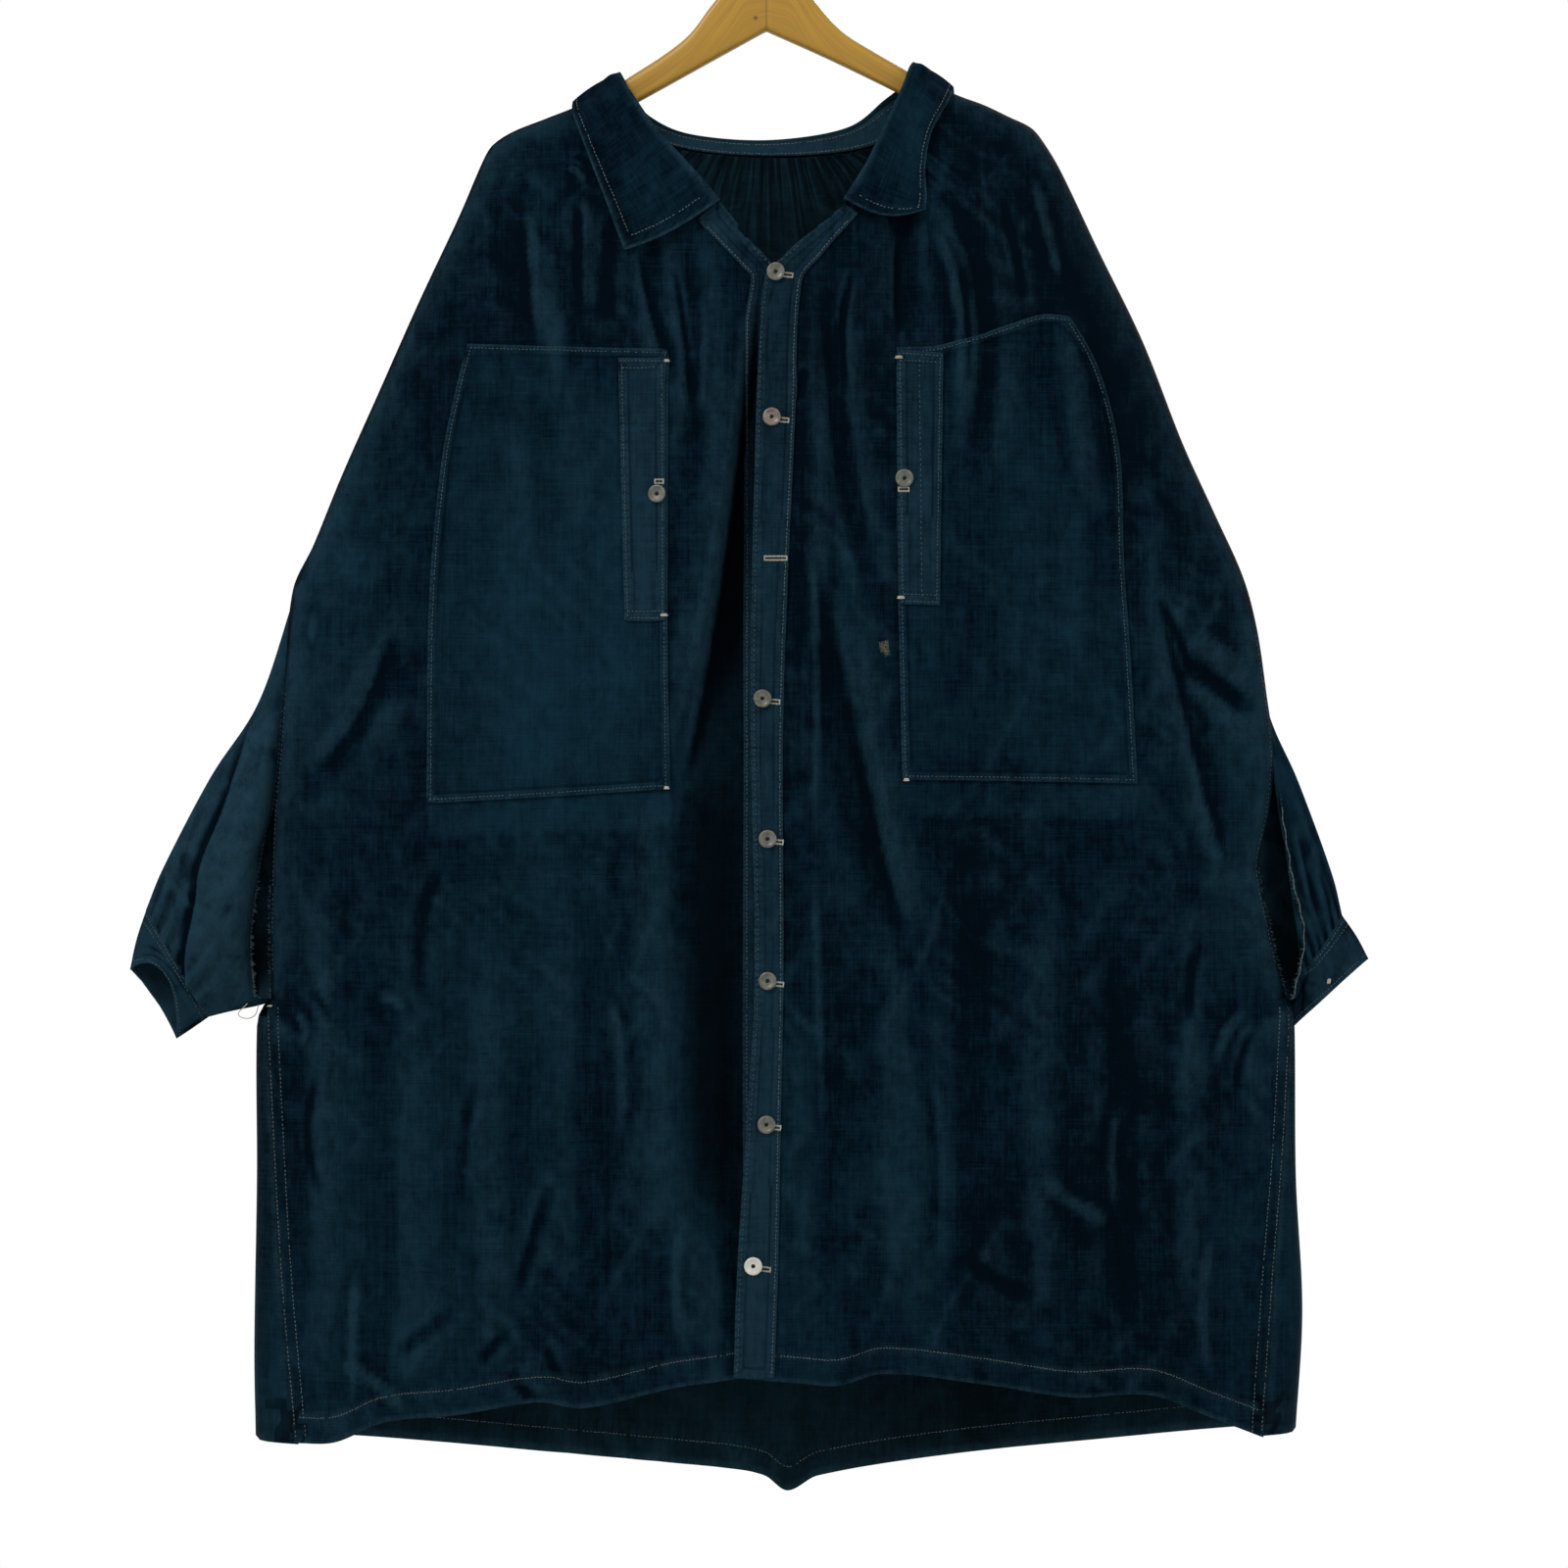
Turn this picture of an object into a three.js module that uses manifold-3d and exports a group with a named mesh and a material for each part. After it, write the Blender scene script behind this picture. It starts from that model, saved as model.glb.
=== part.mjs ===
// A linen work smock hanging on a flat wooden hanger.
// Millimetres, +Z up. The front faces -Y, and +X is on the viewer's right, the wearer's left.
// The origin is the inside top of the hanger's hook, where a rail or peg holds it.
import * as THREE from 'three';
import Module from 'manifold-3d';

const wasm = await Module();
wasm.setup();

// Cloth
const CLOTH = 1.2;
const SEAM_GAP = 0.4;
const LAYER_STEP = CLOTH + SEAM_GAP;
const EDGE_DEPTH = 0.8;
const ARMHOLE_DEPTH = 6;
const EDGE_SHARE = 0.35;
const EDGE_REACH = 4;
const BELLY_REACH = 60;
const LEAST_DEPTH = 9;
const DENSE_EDGE = 30;
const EDGE_COLUMNS = [16, 7, 2.5];
const CENTRE_CROWDING = 1.35;
const SLEEVE_SEAM = 2.6;
const STAND_CLEAR = 2.5;

// Gathers
const FRONT_GATHERS = 14;
const BACK_GATHERS_HALF = 25;
const FRONT_GATHER_DEPTH = 1.9;
const BACK_GATHER_DEPTH = 1.1;
const SLEEVE_GATHERS = 7;
const SLEEVE_GATHER_DEPTH = 1.8;

// Hardware
const BUTTON_RADIUS = 7;
const BUTTON_HEIGHT = 2.6;
const HANGER_HALF = 6;
const HANGER_TIP_HEIGHT = 10;
const HANGER_SEAT = 2;
const HANGER_REACH = 204;
const WIRE_RADIUS = 1.8;
const HOOK_RADIUS = 17;
const HOOK_SHANK_Z = -69.8;

// Makes rows with named columns from short lists.
function table(names, lists) {
  return lists.map((list) => Object.fromEntries(names.split(' ').map((name, i) => [name, list[i]])));
}

// Outlines in the plane of the cloth, from the neck to the hem.
const SHOULDER = {
  right: table('x z', [
    [-128, -176], [-149, -187], [-174, -197], [-199, -207], [-214, -217], [-221, -228], [-240, -272],
    [-271, -338], [-303, -410], [-331, -473], [-353, -527], [-369, -562],
  ]),
  left: table('x z', [
    [125, -169], [147, -179], [166, -186], [185, -195], [203, -204], [213, -216], [226, -238],
    [254, -297], [289, -369], [320, -448], [345, -503], [367, -552],
  ]),
};
const ARMHOLE = {
  right: table('x z', [[-375, -636], [-379, -689], [-383, -730], [-385, -776], [-386, -830], [-386, -880]]),
  left: table('x z', [[377, -590], [384, -640], [390, -690], [386, -735], [378, -775], [388, -828], [401, -880]]),
};
const SIDE_SEAM = {
  right: table('x z', [[-388, -892], [-382, -977], [-375, -1089], [-363, -1216]]),
  left: table('x z', [[402, -892], [395, -999], [387, -1089], [378, -1212]]),
};
const SIDE_FOLD = {
  right: table('x z', [[-397, -894], [-397, -1016], [-399, -1150], [-398, -1224]]),
  left: table('x z', [[407, -894], [408, -1016], [413, -1120], [408, -1215]]),
};
const SLEEVE_EDGE = {
  right: table('x z', [[-370, -562], [-376.5, -636], [-381, -689], [-386, -730], [-394, -776],
    [-401, -830], [-398, -880]]),
  left: table('x z', [[368, -552], [378.5, -590], [385.5, -640], [391.5, -690], [397, -735],
    [405, -785], [414, -830], [405, -880]]),
};

// The open V edges at the neck, the centre edges of the two fronts, and the hems.
const V_EDGE = {
  right: table('x z', [[8, -320], [-23, -285], [-39, -265]]),
  left: table('x z', [[-5, -325], [20, -300], [58, -268]]),
};
const CENTRE_EDGE = {
  right: table('x z', [[8, -320], [8, -540], [8, -860], [4, -1080], [0, -1160]]),
  left: table('x z', [[-5, -325], [-10, -432], [-14, -647], [-11, -862], [-17, -971], [-24, -1078],
    [-27, -1163]]),
};
const FRONT_HEM = {
  right: table('x z', [[-363, -1216], [-331, -1214], [-293, -1198], [-240, -1192], [-175, -1182],
    [-140, -1186], [-68, -1170], [0, -1162]]),
  left: table('x z', [[-27, -1163], [22, -1167], [52, -1169], [87, -1160], [163, -1168], [230, -1178],
    [290, -1177], [337, -1195], [378, -1212]]),
};
const BACK_HEM = table('x z', [
  [-398, -1224], [-268, -1231], [-173, -1238], [-87, -1246], [-35, -1251], [-4, -1257], [14, -1269],
  [38, -1257], [142, -1240], [275, -1228], [408, -1215],
]);
const BACK_CENTRE = table('x z', [[0, -221], [4, -600], [8, -1000], [14, -1269]]);
const BACK_NECK = table('x z', [
  [-128, -176], [-114, -194], [-95, -207], [-60, -217], [0, -221], [60, -218], [95, -208], [112, -190],
  [125, -169],
]);

// How far the cloth stands out from the middle, by height.
const DEPTH = table('at front back', [
  [-1290, 56, 42], [-1100, 53, 40], [-800, 47, 38], [-500, 42, 35], [-300, 39, 32], [-150, 38, 30],
]);

// Folds: three points of the crease, its width on each side, and how far it stands out.
const FOLD_COLUMNS = 'x0 z0 xm zm x1 z1 low high out';
const FOLDS = {
  right: table(FOLD_COLUMNS, [
    [-10, -330, -32, -520, -66, -720, 8, 32, -23],
    [-22, -330, -46, -520, -80, -700, 26, 7, 6],
    [-66, -270, -56, -398, -62, -510, 9, 10, -7],
    [-92, -280, -82, -360, -66, -420, 8, 9, -5],
    [-121, -270, -123, -320, -126, -370, 8, 8, -4],
    [-174, -270, -168, -345, -160, -420, 12, 12, 4],
    [-176, -400, -172, -470, -165, -560, 14, 16, -4],
    [-292, -600, -312, -655, -352, -722, 9, 30, -6],
    [-345, -740, -340, -930, -338, -1190, 16, 16, 5],
    [-300, -820, -296, -980, -300, -1200, 14, 16, -5],
    [-210, -800, -214, -960, -205, -1190, 18, 20, 4],
    [-140, -760, -132, -960, -140, -1190, 18, 18, -5],
    [-66, -780, -64, -960, -60, -1180, 18, 18, 6],
    [-30, -780, -28, -960, -32, -1180, 12, 14, -5],
  ]),
  left: table(FOLD_COLUMNS, [
    [37, -360, 37, -520, 30, -680, 10, 11, 5],
    [48, -300, 51, -420, 88, -600, 9, 10, -8],
    [103, -240, 104, -300, 106, -390, 14, 13, -9],
    [124, -260, 150, -350, 146, -440, 10, 11, 5],
    [142, -260, 164, -350, 152, -490, 10, 12, -6],
    [222, -330, 236, -420, 250, -520, 14, 14, 4],
    [318, -620, 345, -640, 378, -660, 9, 9, -5],
    [298, -560, 322, -660, 356, -790, 6, 26, -7],
    [60, -720, 52, -900, 58, -1150, 16, 18, -6],
    [96, -660, 92, -900, 100, -1160, 18, 18, 5],
    [150, -740, 154, -930, 148, -1160, 18, 18, -5],
    [212, -760, 206, -960, 214, -1170, 18, 20, 5],
    [262, -780, 268, -960, 262, -1170, 16, 18, -5],
    [326, -840, 320, -980, 326, -1190, 16, 18, 5],
  ]),
};
const BACK_FOLDS = table(FOLD_COLUMNS, [
  [4, -560, 10, -900, 14, -1300, 16, 16, 9],
  [-34, -260, -38, -600, -40, -1240, 16, 18, -6],
  [46, -260, 44, -640, 52, -1240, 16, 18, -6],
  [-92, -280, -110, -640, -112, -1230, 18, 20, 6],
  [100, -280, 120, -640, 128, -1230, 18, 20, 6],
  [-150, -320, -190, -700, -196, -1220, 20, 22, -6],
  [158, -320, 196, -700, 206, -1220, 20, 22, -6],
  [-200, -380, -262, -700, -272, -1210, 20, 22, 6],
  [214, -380, 268, -700, 284, -1210, 20, 22, 6],
  [-336, -640, -338, -900, -340, -1200, 18, 20, -5],
  [346, -640, 346, -900, 350, -1200, 18, 20, -5],
]);

// Sleeves: the upper fold, the lower fold and the depth of each side, from the armhole to the cuff.
const SLEEVE = {
  right: table('at tx tz bx bz front back', [
    [0, -370, -562, -398, -880, 6, 6], [0.3, -397, -648, -406, -884, 17, 15], [0.6, -434, -708, -416, -887, 20, 18],
    [0.85, -470, -778, -427, -890, 18, 17], [1, -483, -810, -434, -892, 14, 14],
  ]),
  left: table('at tx tz bx bz front back', [
    [0, 368, -552, 405, -880, 6, 6], [0.3, 387, -652, 407, -880, 8, 17], [0.6, 411, -712, 409, -878, 10, 21],
    [0.85, 436, -782, 410, -874, 10, 20], [1, 444, -815, 410, -868, 10, 17],
  ]),
};
const SLEEVE_FOLDS = {
  right: table(FOLD_COLUMNS, [
    [-404, -640, -430, -730, -462, -870, 34, 5, -10],
    [-392, -700, -404, -780, -420, -850, 10, 12, 3],
  ]),
  left: table(FOLD_COLUMNS, [
    [400, -690, 420, -760, 432, -850, 8, 9, -3],
  ]),
};
const CUFF = {
  right: table('at tx tz bx bz front back pull', [
    [0, -483.6, -811.2, -435, -893.2, 14, 14, 0], [0.5, -490, -833, -448, -901, 15, 14, 12],
    [1, -495, -856, -460, -909, 16, 13, 26],
  ]),
  left: table('at tx tz bx bz front back pull', [
    [0, 446, -817.2, 411.5, -870.4, 10, 17, 0], [0.5, 455, -831, 412.5, -889, 11, 17, 2],
    [1, 464, -848, 413, -908, 11, 16, 3],
  ]),
};

// Pockets, their welts, the button bands and the torn hole, as outlines on the fronts.
const POCKET = {
  right: table('x z', [[-231, -375], [-77, -380], [-76, -716], [-261, -727], [-259, -563], [-250, -463],
    [-241, -416]]),
  left: table('x z', [[97, -379], [130, -377], [183, -361], [208, -353], [230, -354], [249, -387],
    [261, -422], [269, -466], [271, -540], [276, -619], [281, -712], [101, -709]]),
};
const WELT = {
  right: table('x z', [[-115, -387], [-79.5, -387], [-78.5, -588], [-110, -588]]),
  left: table('x z', [[97.5, -381], [133, -383], [130, -576], [99.5, -575]]),
};
const BAND = {
  right: table('x z', [[-45, -255], [-55, -281], [-33, -304], [-13, -323], [-19, -359], [-19, -1220],
    [30, -1220], [30, -255]]),
  left: table('x z', [[75, -255], [65, -280], [25, -328], [20, -432], [16, -540], [11, -647], [8, -754],
    [11, -862], [9, -971], [7, -1078], [4, -1220], [-60, -1220], [-60, -255]]),
};
const TORN_HOLE = table('x z', [[83, -603], [92, -603.5], [91, -609], [92.5, -613.5], [87, -614], [84.5, -611]]);

// Collar: how far out the neck seam is, the fold line at the top and the outer edge, in turn round
// the neck from the right front. The part says which panel's neck edge the seam follows.
const COLLAR = table('part nx rx ry rz ex ey ez', [
  ['front', -40, -39, -40, -260, -112, -36, -301],
  ['front', -60, -62, -38, -238, -122, -33, -272],
  ['front', -82, -84, -33, -214, -132, -27, -246],
  ['front', -104, -102, -22, -188, -143, -20, -217],
  ['front', -119, -112, -11, -168, -150, -11, -194],
  ['top', -128, -116, 0, -159, -153, 0, -182],
  ['back', -118, -108, 13, -176, -150, 18, -202],
  ['back', -96, -92, 24, -192, -128, 36, -236],
  ['back', -60, -60, 32, -203, -76, 44, -256],
  ['back', 0, 0, 34, -207, 0, 47, -264],
  ['back', 60, 60, 32, -198, 76, 44, -254],
  ['back', 96, 90, 24, -178, 122, 36, -230],
  ['back', 115, 104, 13, -164, 140, 18, -190],
  ['top', 125, 112, 0, -151, 143, 0, -170],
  ['front', 117, 106, -11, -165, 137, -11, -186],
  ['front', 104, 99, -22, -186, 124, -21, -212],
  ['front', 88, 86, -31, -214, 119, -28, -240],
  ['front', 72, 73, -38, -240, 120, -33, -262],
  ['front', 59, 58, -40, -262, 118, -36, -273],
]);

const BUTTONS = table('name x z', [
  ['front_button_1', 5, -321], ['front_button_2', 2, -432], ['front_button_3', -5, -647],
  ['front_button_4', -1, -754], ['front_button_5', -1, -862], ['front_button_6', -2, -971],
  ['front_button_7', -12, -1078],
]);
const POCKET_BUTTONS = table('name side x z', [
  ['pocket_button_right', 'right', -85, -491], ['pocket_button_left', 'left', 103, -479],
]);

// The hanger's upper edge from its neck to where the cloth hides it.
const HANGER_TOP = {
  right: table('x z', [[-2.2, -70], [-19, -75], [-30, -90], [-46, -110], [-62, -131], [-82, -147], [-113, -167]]),
  left: table('x z', [[-1.8, -70], [16, -75], [26, -90], [36, -106], [57, -129], [82, -145], [108, -160]]),
};

// The hanger's lower edge, from the point where the arms meet.
const HANGER_LOW = {
  right: table('x z', [[-2.2, -128.4], [-42.6, -150.5], [-98.8, -181.6], [-150, -209], [-196, -228]]),
  left: table('x z', [[-1.8, -128.4], [47.1, -150.5], [103.4, -177.8], [150, -201], [195, -219]]),
};

const clamp = (value, low, high) => Math.min(high, Math.max(low, value));
const mix = (a, b, t) => a + (b - a) * t;
const ease = (t) => {
  const s = clamp(t, 0, 1);
  return s * s * (3 - 2 * s);
};
const outward = { right: -1, left: 1 };

// Reads one column of a table at a place between its rows, smoothly.
function column(rows, key, name, at) {
  const last = rows.length - 1;
  const rising = rows[last][key] > rows[0][key] ? 1 : -1;
  let i = 0;
  while (i < last - 1 && rising * (at - rows[i + 1][key]) > 0) i += 1;
  const slope = (k) => {
    const a = rows[Math.max(0, k - 1)];
    const b = rows[Math.min(last, k + 1)];
    return (b[name] - a[name]) / (b[key] - a[key]);
  };
  const span = rows[i + 1][key] - rows[i][key];
  const t = clamp((at - rows[i][key]) / span, 0, 1);
  const t2 = t * t;
  const t3 = t2 * t;
  return rows[i][name] * (2 * t3 - 3 * t2 + 1) + slope(i) * span * (t3 - 2 * t2 + t)
    + rows[i + 1][name] * (3 * t2 - 2 * t3) + slope(i + 1) * span * (t3 - t2);
}

// Gives the point at a share of an outline's length.
function route(points) {
  const rows = [];
  let along = 0;
  points.forEach((point, i) => {
    if (i) along += Math.hypot(point.x - points[i - 1].x, point.z - points[i - 1].z);
    rows.push({ along, x: point.x, z: point.z });
  });
  const at = (share) => ({
    x: column(rows, 'along', 'x', share * along),
    z: column(rows, 'along', 'z', share * along),
  });
  return { at, length: along };
}

// Distance from a point to an outline.
function distance(points, x, z) {
  let best = Infinity;
  for (let i = 1; i < points.length; i += 1) {
    const a = points[i - 1];
    const b = points[i];
    const dx = b.x - a.x;
    const dz = b.z - a.z;
    const t = clamp(((x - a.x) * dx + (z - a.z) * dz) / (dx * dx + dz * dz), 0, 1);
    best = Math.min(best, Math.hypot(x - a.x - t * dx, z - a.z - t * dz));
  }
  return best;
}

// Sum of the folds of one table at a point of the cloth.
function relief(folds, x, z) {
  let sum = 0;
  for (const fold of folds) {
    const cx = fold.x1 - fold.x0;
    const cz = fold.z1 - fold.z0;
    const length = Math.hypot(cx, cz);
    const s = ((x - fold.x0) * cx + (z - fold.z0) * cz) / (length * length);
    if (s > 0 && s < 1) {
      const bow = 4 * s * (1 - s);
      const px = fold.x0 + cx * s + bow * (fold.xm - (fold.x0 + fold.x1) / 2);
      const pz = fold.z0 + cz * s + bow * (fold.zm - (fold.z0 + fold.z1) / 2);
      const away = ((x - px) * -cz + (z - pz) * cx) / length;
      const width = away < 0 ? fold.low : fold.high;
      sum += fold.out * Math.exp(-((away / width) ** 2)) * ease(s / 0.15) * ease((1 - s) / 0.2);
    }
  }
  return sum;
}

const BODY_OUTLINE = Object.fromEntries(['right', 'left'].map((side) => [side,
  [...SHOULDER[side], ...ARMHOLE[side], ...SIDE_FOLD[side]]]));
const FRONT_OUTLINE = Object.fromEntries(['right', 'left'].map((side) => [side,
  [...SHOULDER[side], ...ARMHOLE[side], ...SIDE_SEAM[side]]]));

// How the cloth rounds out from its edge, from 0 at the edge to 1 in the middle.
function roundness(inside) {
  return EDGE_SHARE * (1 - Math.exp(-inside / EDGE_REACH))
    + (1 - EDGE_SHARE) * (1 - Math.exp(-inside / BELLY_REACH));
}

// The fronts and the back stand apart where a sleeve is set in.
function edgeDepth(side, z) {
  const top = SHOULDER[side].at(-1).z;
  const foot = ARMHOLE[side].at(-1).z;
  return mix(EDGE_DEPTH, ARMHOLE_DEPTH, ease((top - z) / 25) * ease((z - foot) / 25));
}

// The right front runs on under the left one, so it lies deeper there.
function underlap(side, x) {
  return side === 'right' ? 7 * ease((x + 45) / 30) : 0;
}

function frontDepth(side, x, z) {
  const body = column(DEPTH, 'at', 'front', z) * roundness(distance(BODY_OUTLINE[side], x, z));
  const edge = edgeDepth(side, z) * Math.exp(-distance(BODY_OUTLINE[side], x, z) / BELLY_REACH);
  const folds = relief(FOLDS[side], x, z) * ease(distance(BODY_OUTLINE[side], x, z) / 12);
  return edge + Math.max(body - underlap(side, x) + folds, Math.min(body, LEAST_DEPTH));
}

function backDepth(x, z) {
  const side = x < 5 ? 'right' : 'left';
  const inside = distance(BODY_OUTLINE[side], x, z);
  const body = column(DEPTH, 'at', 'back', z) * roundness(inside);
  const edge = edgeDepth(side, z) * Math.exp(-inside / BELLY_REACH);
  return edge + Math.max(body + relief(BACK_FOLDS, x, z) * ease(inside / 12), Math.min(body, LEAST_DEPTH));
}

// Gathers fade down the cloth, each at its own length.
function gather(count, depth, share, down) {
  const reach = 34 + 22 * Math.sin(share * 37) + 10 * Math.sin(share * 91);
  return depth * Math.cos(2 * Math.PI * count * share) * Math.exp(-down / reach) * ease(down / 2 + 0.6);
}

// One front, by its share across from the centre edge and its share down from the neck.
function frontSurface(side, lift = 0) {
  const inner = route(CENTRE_EDGE[side]);
  const outer = route(FRONT_OUTLINE[side]);
  const neck = route([...V_EDGE[side], SHOULDER[side][0]]);
  const open = route(V_EDGE[side]).length / neck.length;
  const [neckFrom, hemFrom] = [inner.at(0), inner.at(1)];
  const [neckTo, hemTo] = [outer.at(0), outer.at(1)];
  const place = (u, v) => {
    const a = inner.at(v);
    const b = outer.at(v);
    const top = neck.at(clamp(u, 0, 1));
    const rise = (1 - v) ** 12;
    const x = mix(a.x, b.x, u) + (top.x - mix(neckFrom.x, neckTo.x, u)) * rise;
    const straight = mix(hemFrom.z, hemTo.z, u);
    const hem = column(FRONT_HEM[side], 'x', 'z', mix(hemFrom.x, hemTo.x, u));
    const z = mix(a.z, b.z, u) + (top.z - mix(neckFrom.z, neckTo.z, u)) * rise + (hem - straight) * v ** 10;
    const share = (u - open) / (1 - open);
    const fullness = ease((share - 0.2) / 0.08) * ease((1 - share) / 0.05);
    const wave = gather(FRONT_GATHERS, FRONT_GATHER_DEPTH, share, v * outer.length);
    return [x, -frontDepth(side, x, z) - fullness * wave, z];
  };
  const width = (v) => Math.hypot(outer.at(v).x - inner.at(v).x, outer.at(v).z - inner.at(v).z);
  return { place, width, length: outer.length, lift: -outward[side] * lift, open };
}

// The whole back. Past its side folds it runs on round to the side seams on the front.
function backSurface() {
  const middle = route(BACK_CENTRE);
  const outer = { right: route(BODY_OUTLINE.right), left: route(BODY_OUTLINE.left) };
  const place = (u, v) => {
    const side = u < 0 ? 'right' : 'left';
    const share = Math.min(1, Math.abs(u));
    const a = middle.at(v);
    const b = outer[side].at(v);
    const x = mix(a.x, b.x, share);
    const neckX = mix(0, BACK_NECK.at(side === 'right' ? 0 : -1).x, share);
    const neckEnd = BACK_NECK.at(side === 'right' ? 0 : -1).z;
    const neck = column(BACK_NECK, 'x', 'z', neckX) - mix(BACK_CENTRE[0].z, neckEnd, share);
    const hemX = mix(BACK_CENTRE.at(-1).x, BACK_HEM.at(side === 'right' ? 0 : -1).x, share);
    const hemEnd = BACK_HEM.at(side === 'right' ? 0 : -1).z;
    const hem = column(BACK_HEM, 'x', 'z', hemX) - mix(BACK_CENTRE.at(-1).z, hemEnd, share);
    const z = mix(a.z, b.z, share) + neck * Math.exp(-v * 22) + hem * v ** 10;
    if (Math.abs(u) > 1) {
      const past = (Math.abs(u) - 1) * 100;
      const wrapX = x - outward[side] * past;
      return [wrapX, -frontDepth(side, wrapX, z), z];
    }
    const fullness = ease((1 - share) / 0.08);
    const y = backDepth(x, z)
      + fullness * gather(BACK_GATHERS_HALF, BACK_GATHER_DEPTH, share, v * outer.right.length);
    return [x, y, z];
  };
  const width = (v, side) => {
    const a = middle.at(v);
    const b = outer[side].at(v);
    return Math.hypot(b.x - a.x, b.z - a.z);
  };
  return { place, width, length: outer.right.length, lift: 0 };
}

// How wide the back's turn onto the front is, at a share down.
function wrapWidth(side, v) {
  const z = route(BODY_OUTLINE[side]).at(v).z;
  if (z > SIDE_SEAM[side][0].z) return 0;
  return Math.abs(column(SIDE_FOLD[side], 'z', 'x', z) - column(SIDE_SEAM[side], 'z', 'x', z)) - SEAM_GAP - 0.4;
}

// The places of a row's points across a panel, with a key that lines up rows of other counts.
function spread(count, width) {
  const shares = Array.from({ length: count + 1 },
    (_, i) => (i / count) ** CENTRE_CROWDING * (1 - DENSE_EDGE / width));
  const edges = EDGE_COLUMNS.map((inside) => 1 - inside / width);
  return withKeys([...shares, ...edges, 1], width);
}

function even(count, width) {
  return withKeys(Array.from({ length: count + 1 }, (_, i) => i / count), width);
}

// A front's top rows: a few points along the open V, then four for each gather.
function gathered(surface, v) {
  const { open } = surface;
  const edge = Array.from({ length: 7 }, (_, i) => (open * i) / 7);
  const count = 4 * FRONT_GATHERS;
  const neck = Array.from({ length: count + 1 }, (_, i) => open + ((1 - open) * i) / count);
  return withKeys([...edge, ...neck], surface.width(v));
}

function withKeys(shares, width) {
  return shares.map((u) => {
    const inside = (1 - u) * width;
    const key = inside > DENSE_EDGE ? (width - inside) / (width - DENSE_EDGE) : 2 - inside / DENSE_EDGE;
    return { u, key };
  });
}

function frontRows(surface) {
  const bands = table('to step across', [
    [0.012, 0.012, 4 * FRONT_GATHERS], [0.06, 0.024, 4 * FRONT_GATHERS], [0.135, 0.025, 22],
    [0.42, 0.057, 16], [0.76, 0.068, 16], [1, 0.06, 15],
  ]);
  const rows = [];
  let v = 0;
  for (const band of bands) {
    for (; v < band.to - 1e-6; v += band.step) {
      const dense = band.across === 4 * FRONT_GATHERS;
      const points = dense ? gathered(surface, v) : spread(band.across, surface.width(v));
      rows.push({ v, points });
    }
    v = band.to;
  }
  rows.push({ v: 1, points: spread(15, surface.width(1)) });
  return rows;
}

function backRows(surface) {
  const bands = table('to step across', [
    [0.012, 0.012, 2 * BACK_GATHERS_HALF], [0.036, 0.024, 2 * BACK_GATHERS_HALF], [0.06, 0.024, 20],
    [0.135, 0.025, 12], [0.42, 0.057, 10], [0.76, 0.0567, 9], [1.001, 0.06, 9],
  ]);
  const rows = [];
  let v = 0;
  const addRow = (band, at) => {
    const half = (side) => {
      const dense = band.across === 2 * BACK_GATHERS_HALF;
      const width = surface.width(at, side);
      const points = dense ? even(band.across, width) : spread(band.across, width);
      const wrap = wrapWidth(side, at);
      if (wrap > 0) {
        [0.12, 0.35, 0.65, 1].forEach((part, i) => {
          points.push({ u: 1 + (wrap * part) / 100, key: 2.2 + 0.2 * i });
        });
      }
      return points;
    };
    const right = half('right').map(({ u, key }) => ({ u: -u, key: -key })).reverse();
    right[right.length - 1].u = -1e-9;
    rows.push({ v: at, points: [...right, ...half('left').slice(1)] });
  };
  for (const band of bands) {
    for (; v < Math.min(1, band.to) - 1e-6; v += band.step) addRow(band, v);
    v = Math.min(1, band.to);
  }
  addRow(bands.at(-1), 1);
  return rows;
}

const toVector = ([x, y, z]) => new THREE.Vector3(x, y, z);

// Offsets a point of a surface along its normal.
function offsetPoint(place, u, v, du, dv, distances) {
  const across = toVector(place(u + du, v)).sub(toVector(place(u - du, v)));
  const down = toVector(place(u, Math.min(1, v + dv))).sub(toVector(place(u, Math.max(0, v - dv))));
  const normal = across.cross(down).normalize();
  const middle = toVector(place(u, v));
  return distances.map((distance_) => middle.clone().addScaledVector(normal, distance_));
}

// Triangles between two rows whose points have rising keys.
function zip(above, below, keysAbove, keysBelow, add) {
  let i = 0;
  let j = 0;
  while (i < above.length - 1 || j < below.length - 1) {
    const nextAbove = i < above.length - 1 ? keysAbove[i + 1] : Infinity;
    const nextBelow = j < below.length - 1 ? keysBelow[j + 1] : Infinity;
    if (nextAbove <= nextBelow) {
      add(above[i], below[j], above[i + 1]);
      i += 1;
    } else {
      add(above[i], below[j], below[j + 1]);
      j += 1;
    }
  }
}

function solidGeometry(points, triangles) {
  let volume = 0;
  for (const [a, b, c] of triangles) {
    volume += points[a].dot(points[b].clone().cross(points[c]));
  }
  const turned = volume < 0 ? triangles.map(([a, b, c]) => [a, c, b]) : triangles;
  const geometry = new THREE.BufferGeometry();
  geometry.setAttribute('position', new THREE.Float32BufferAttribute(points.flatMap((p) => [p.x, p.y, p.z]), 3));
  geometry.setIndex(turned.flat());
  return geometry;
}

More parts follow.
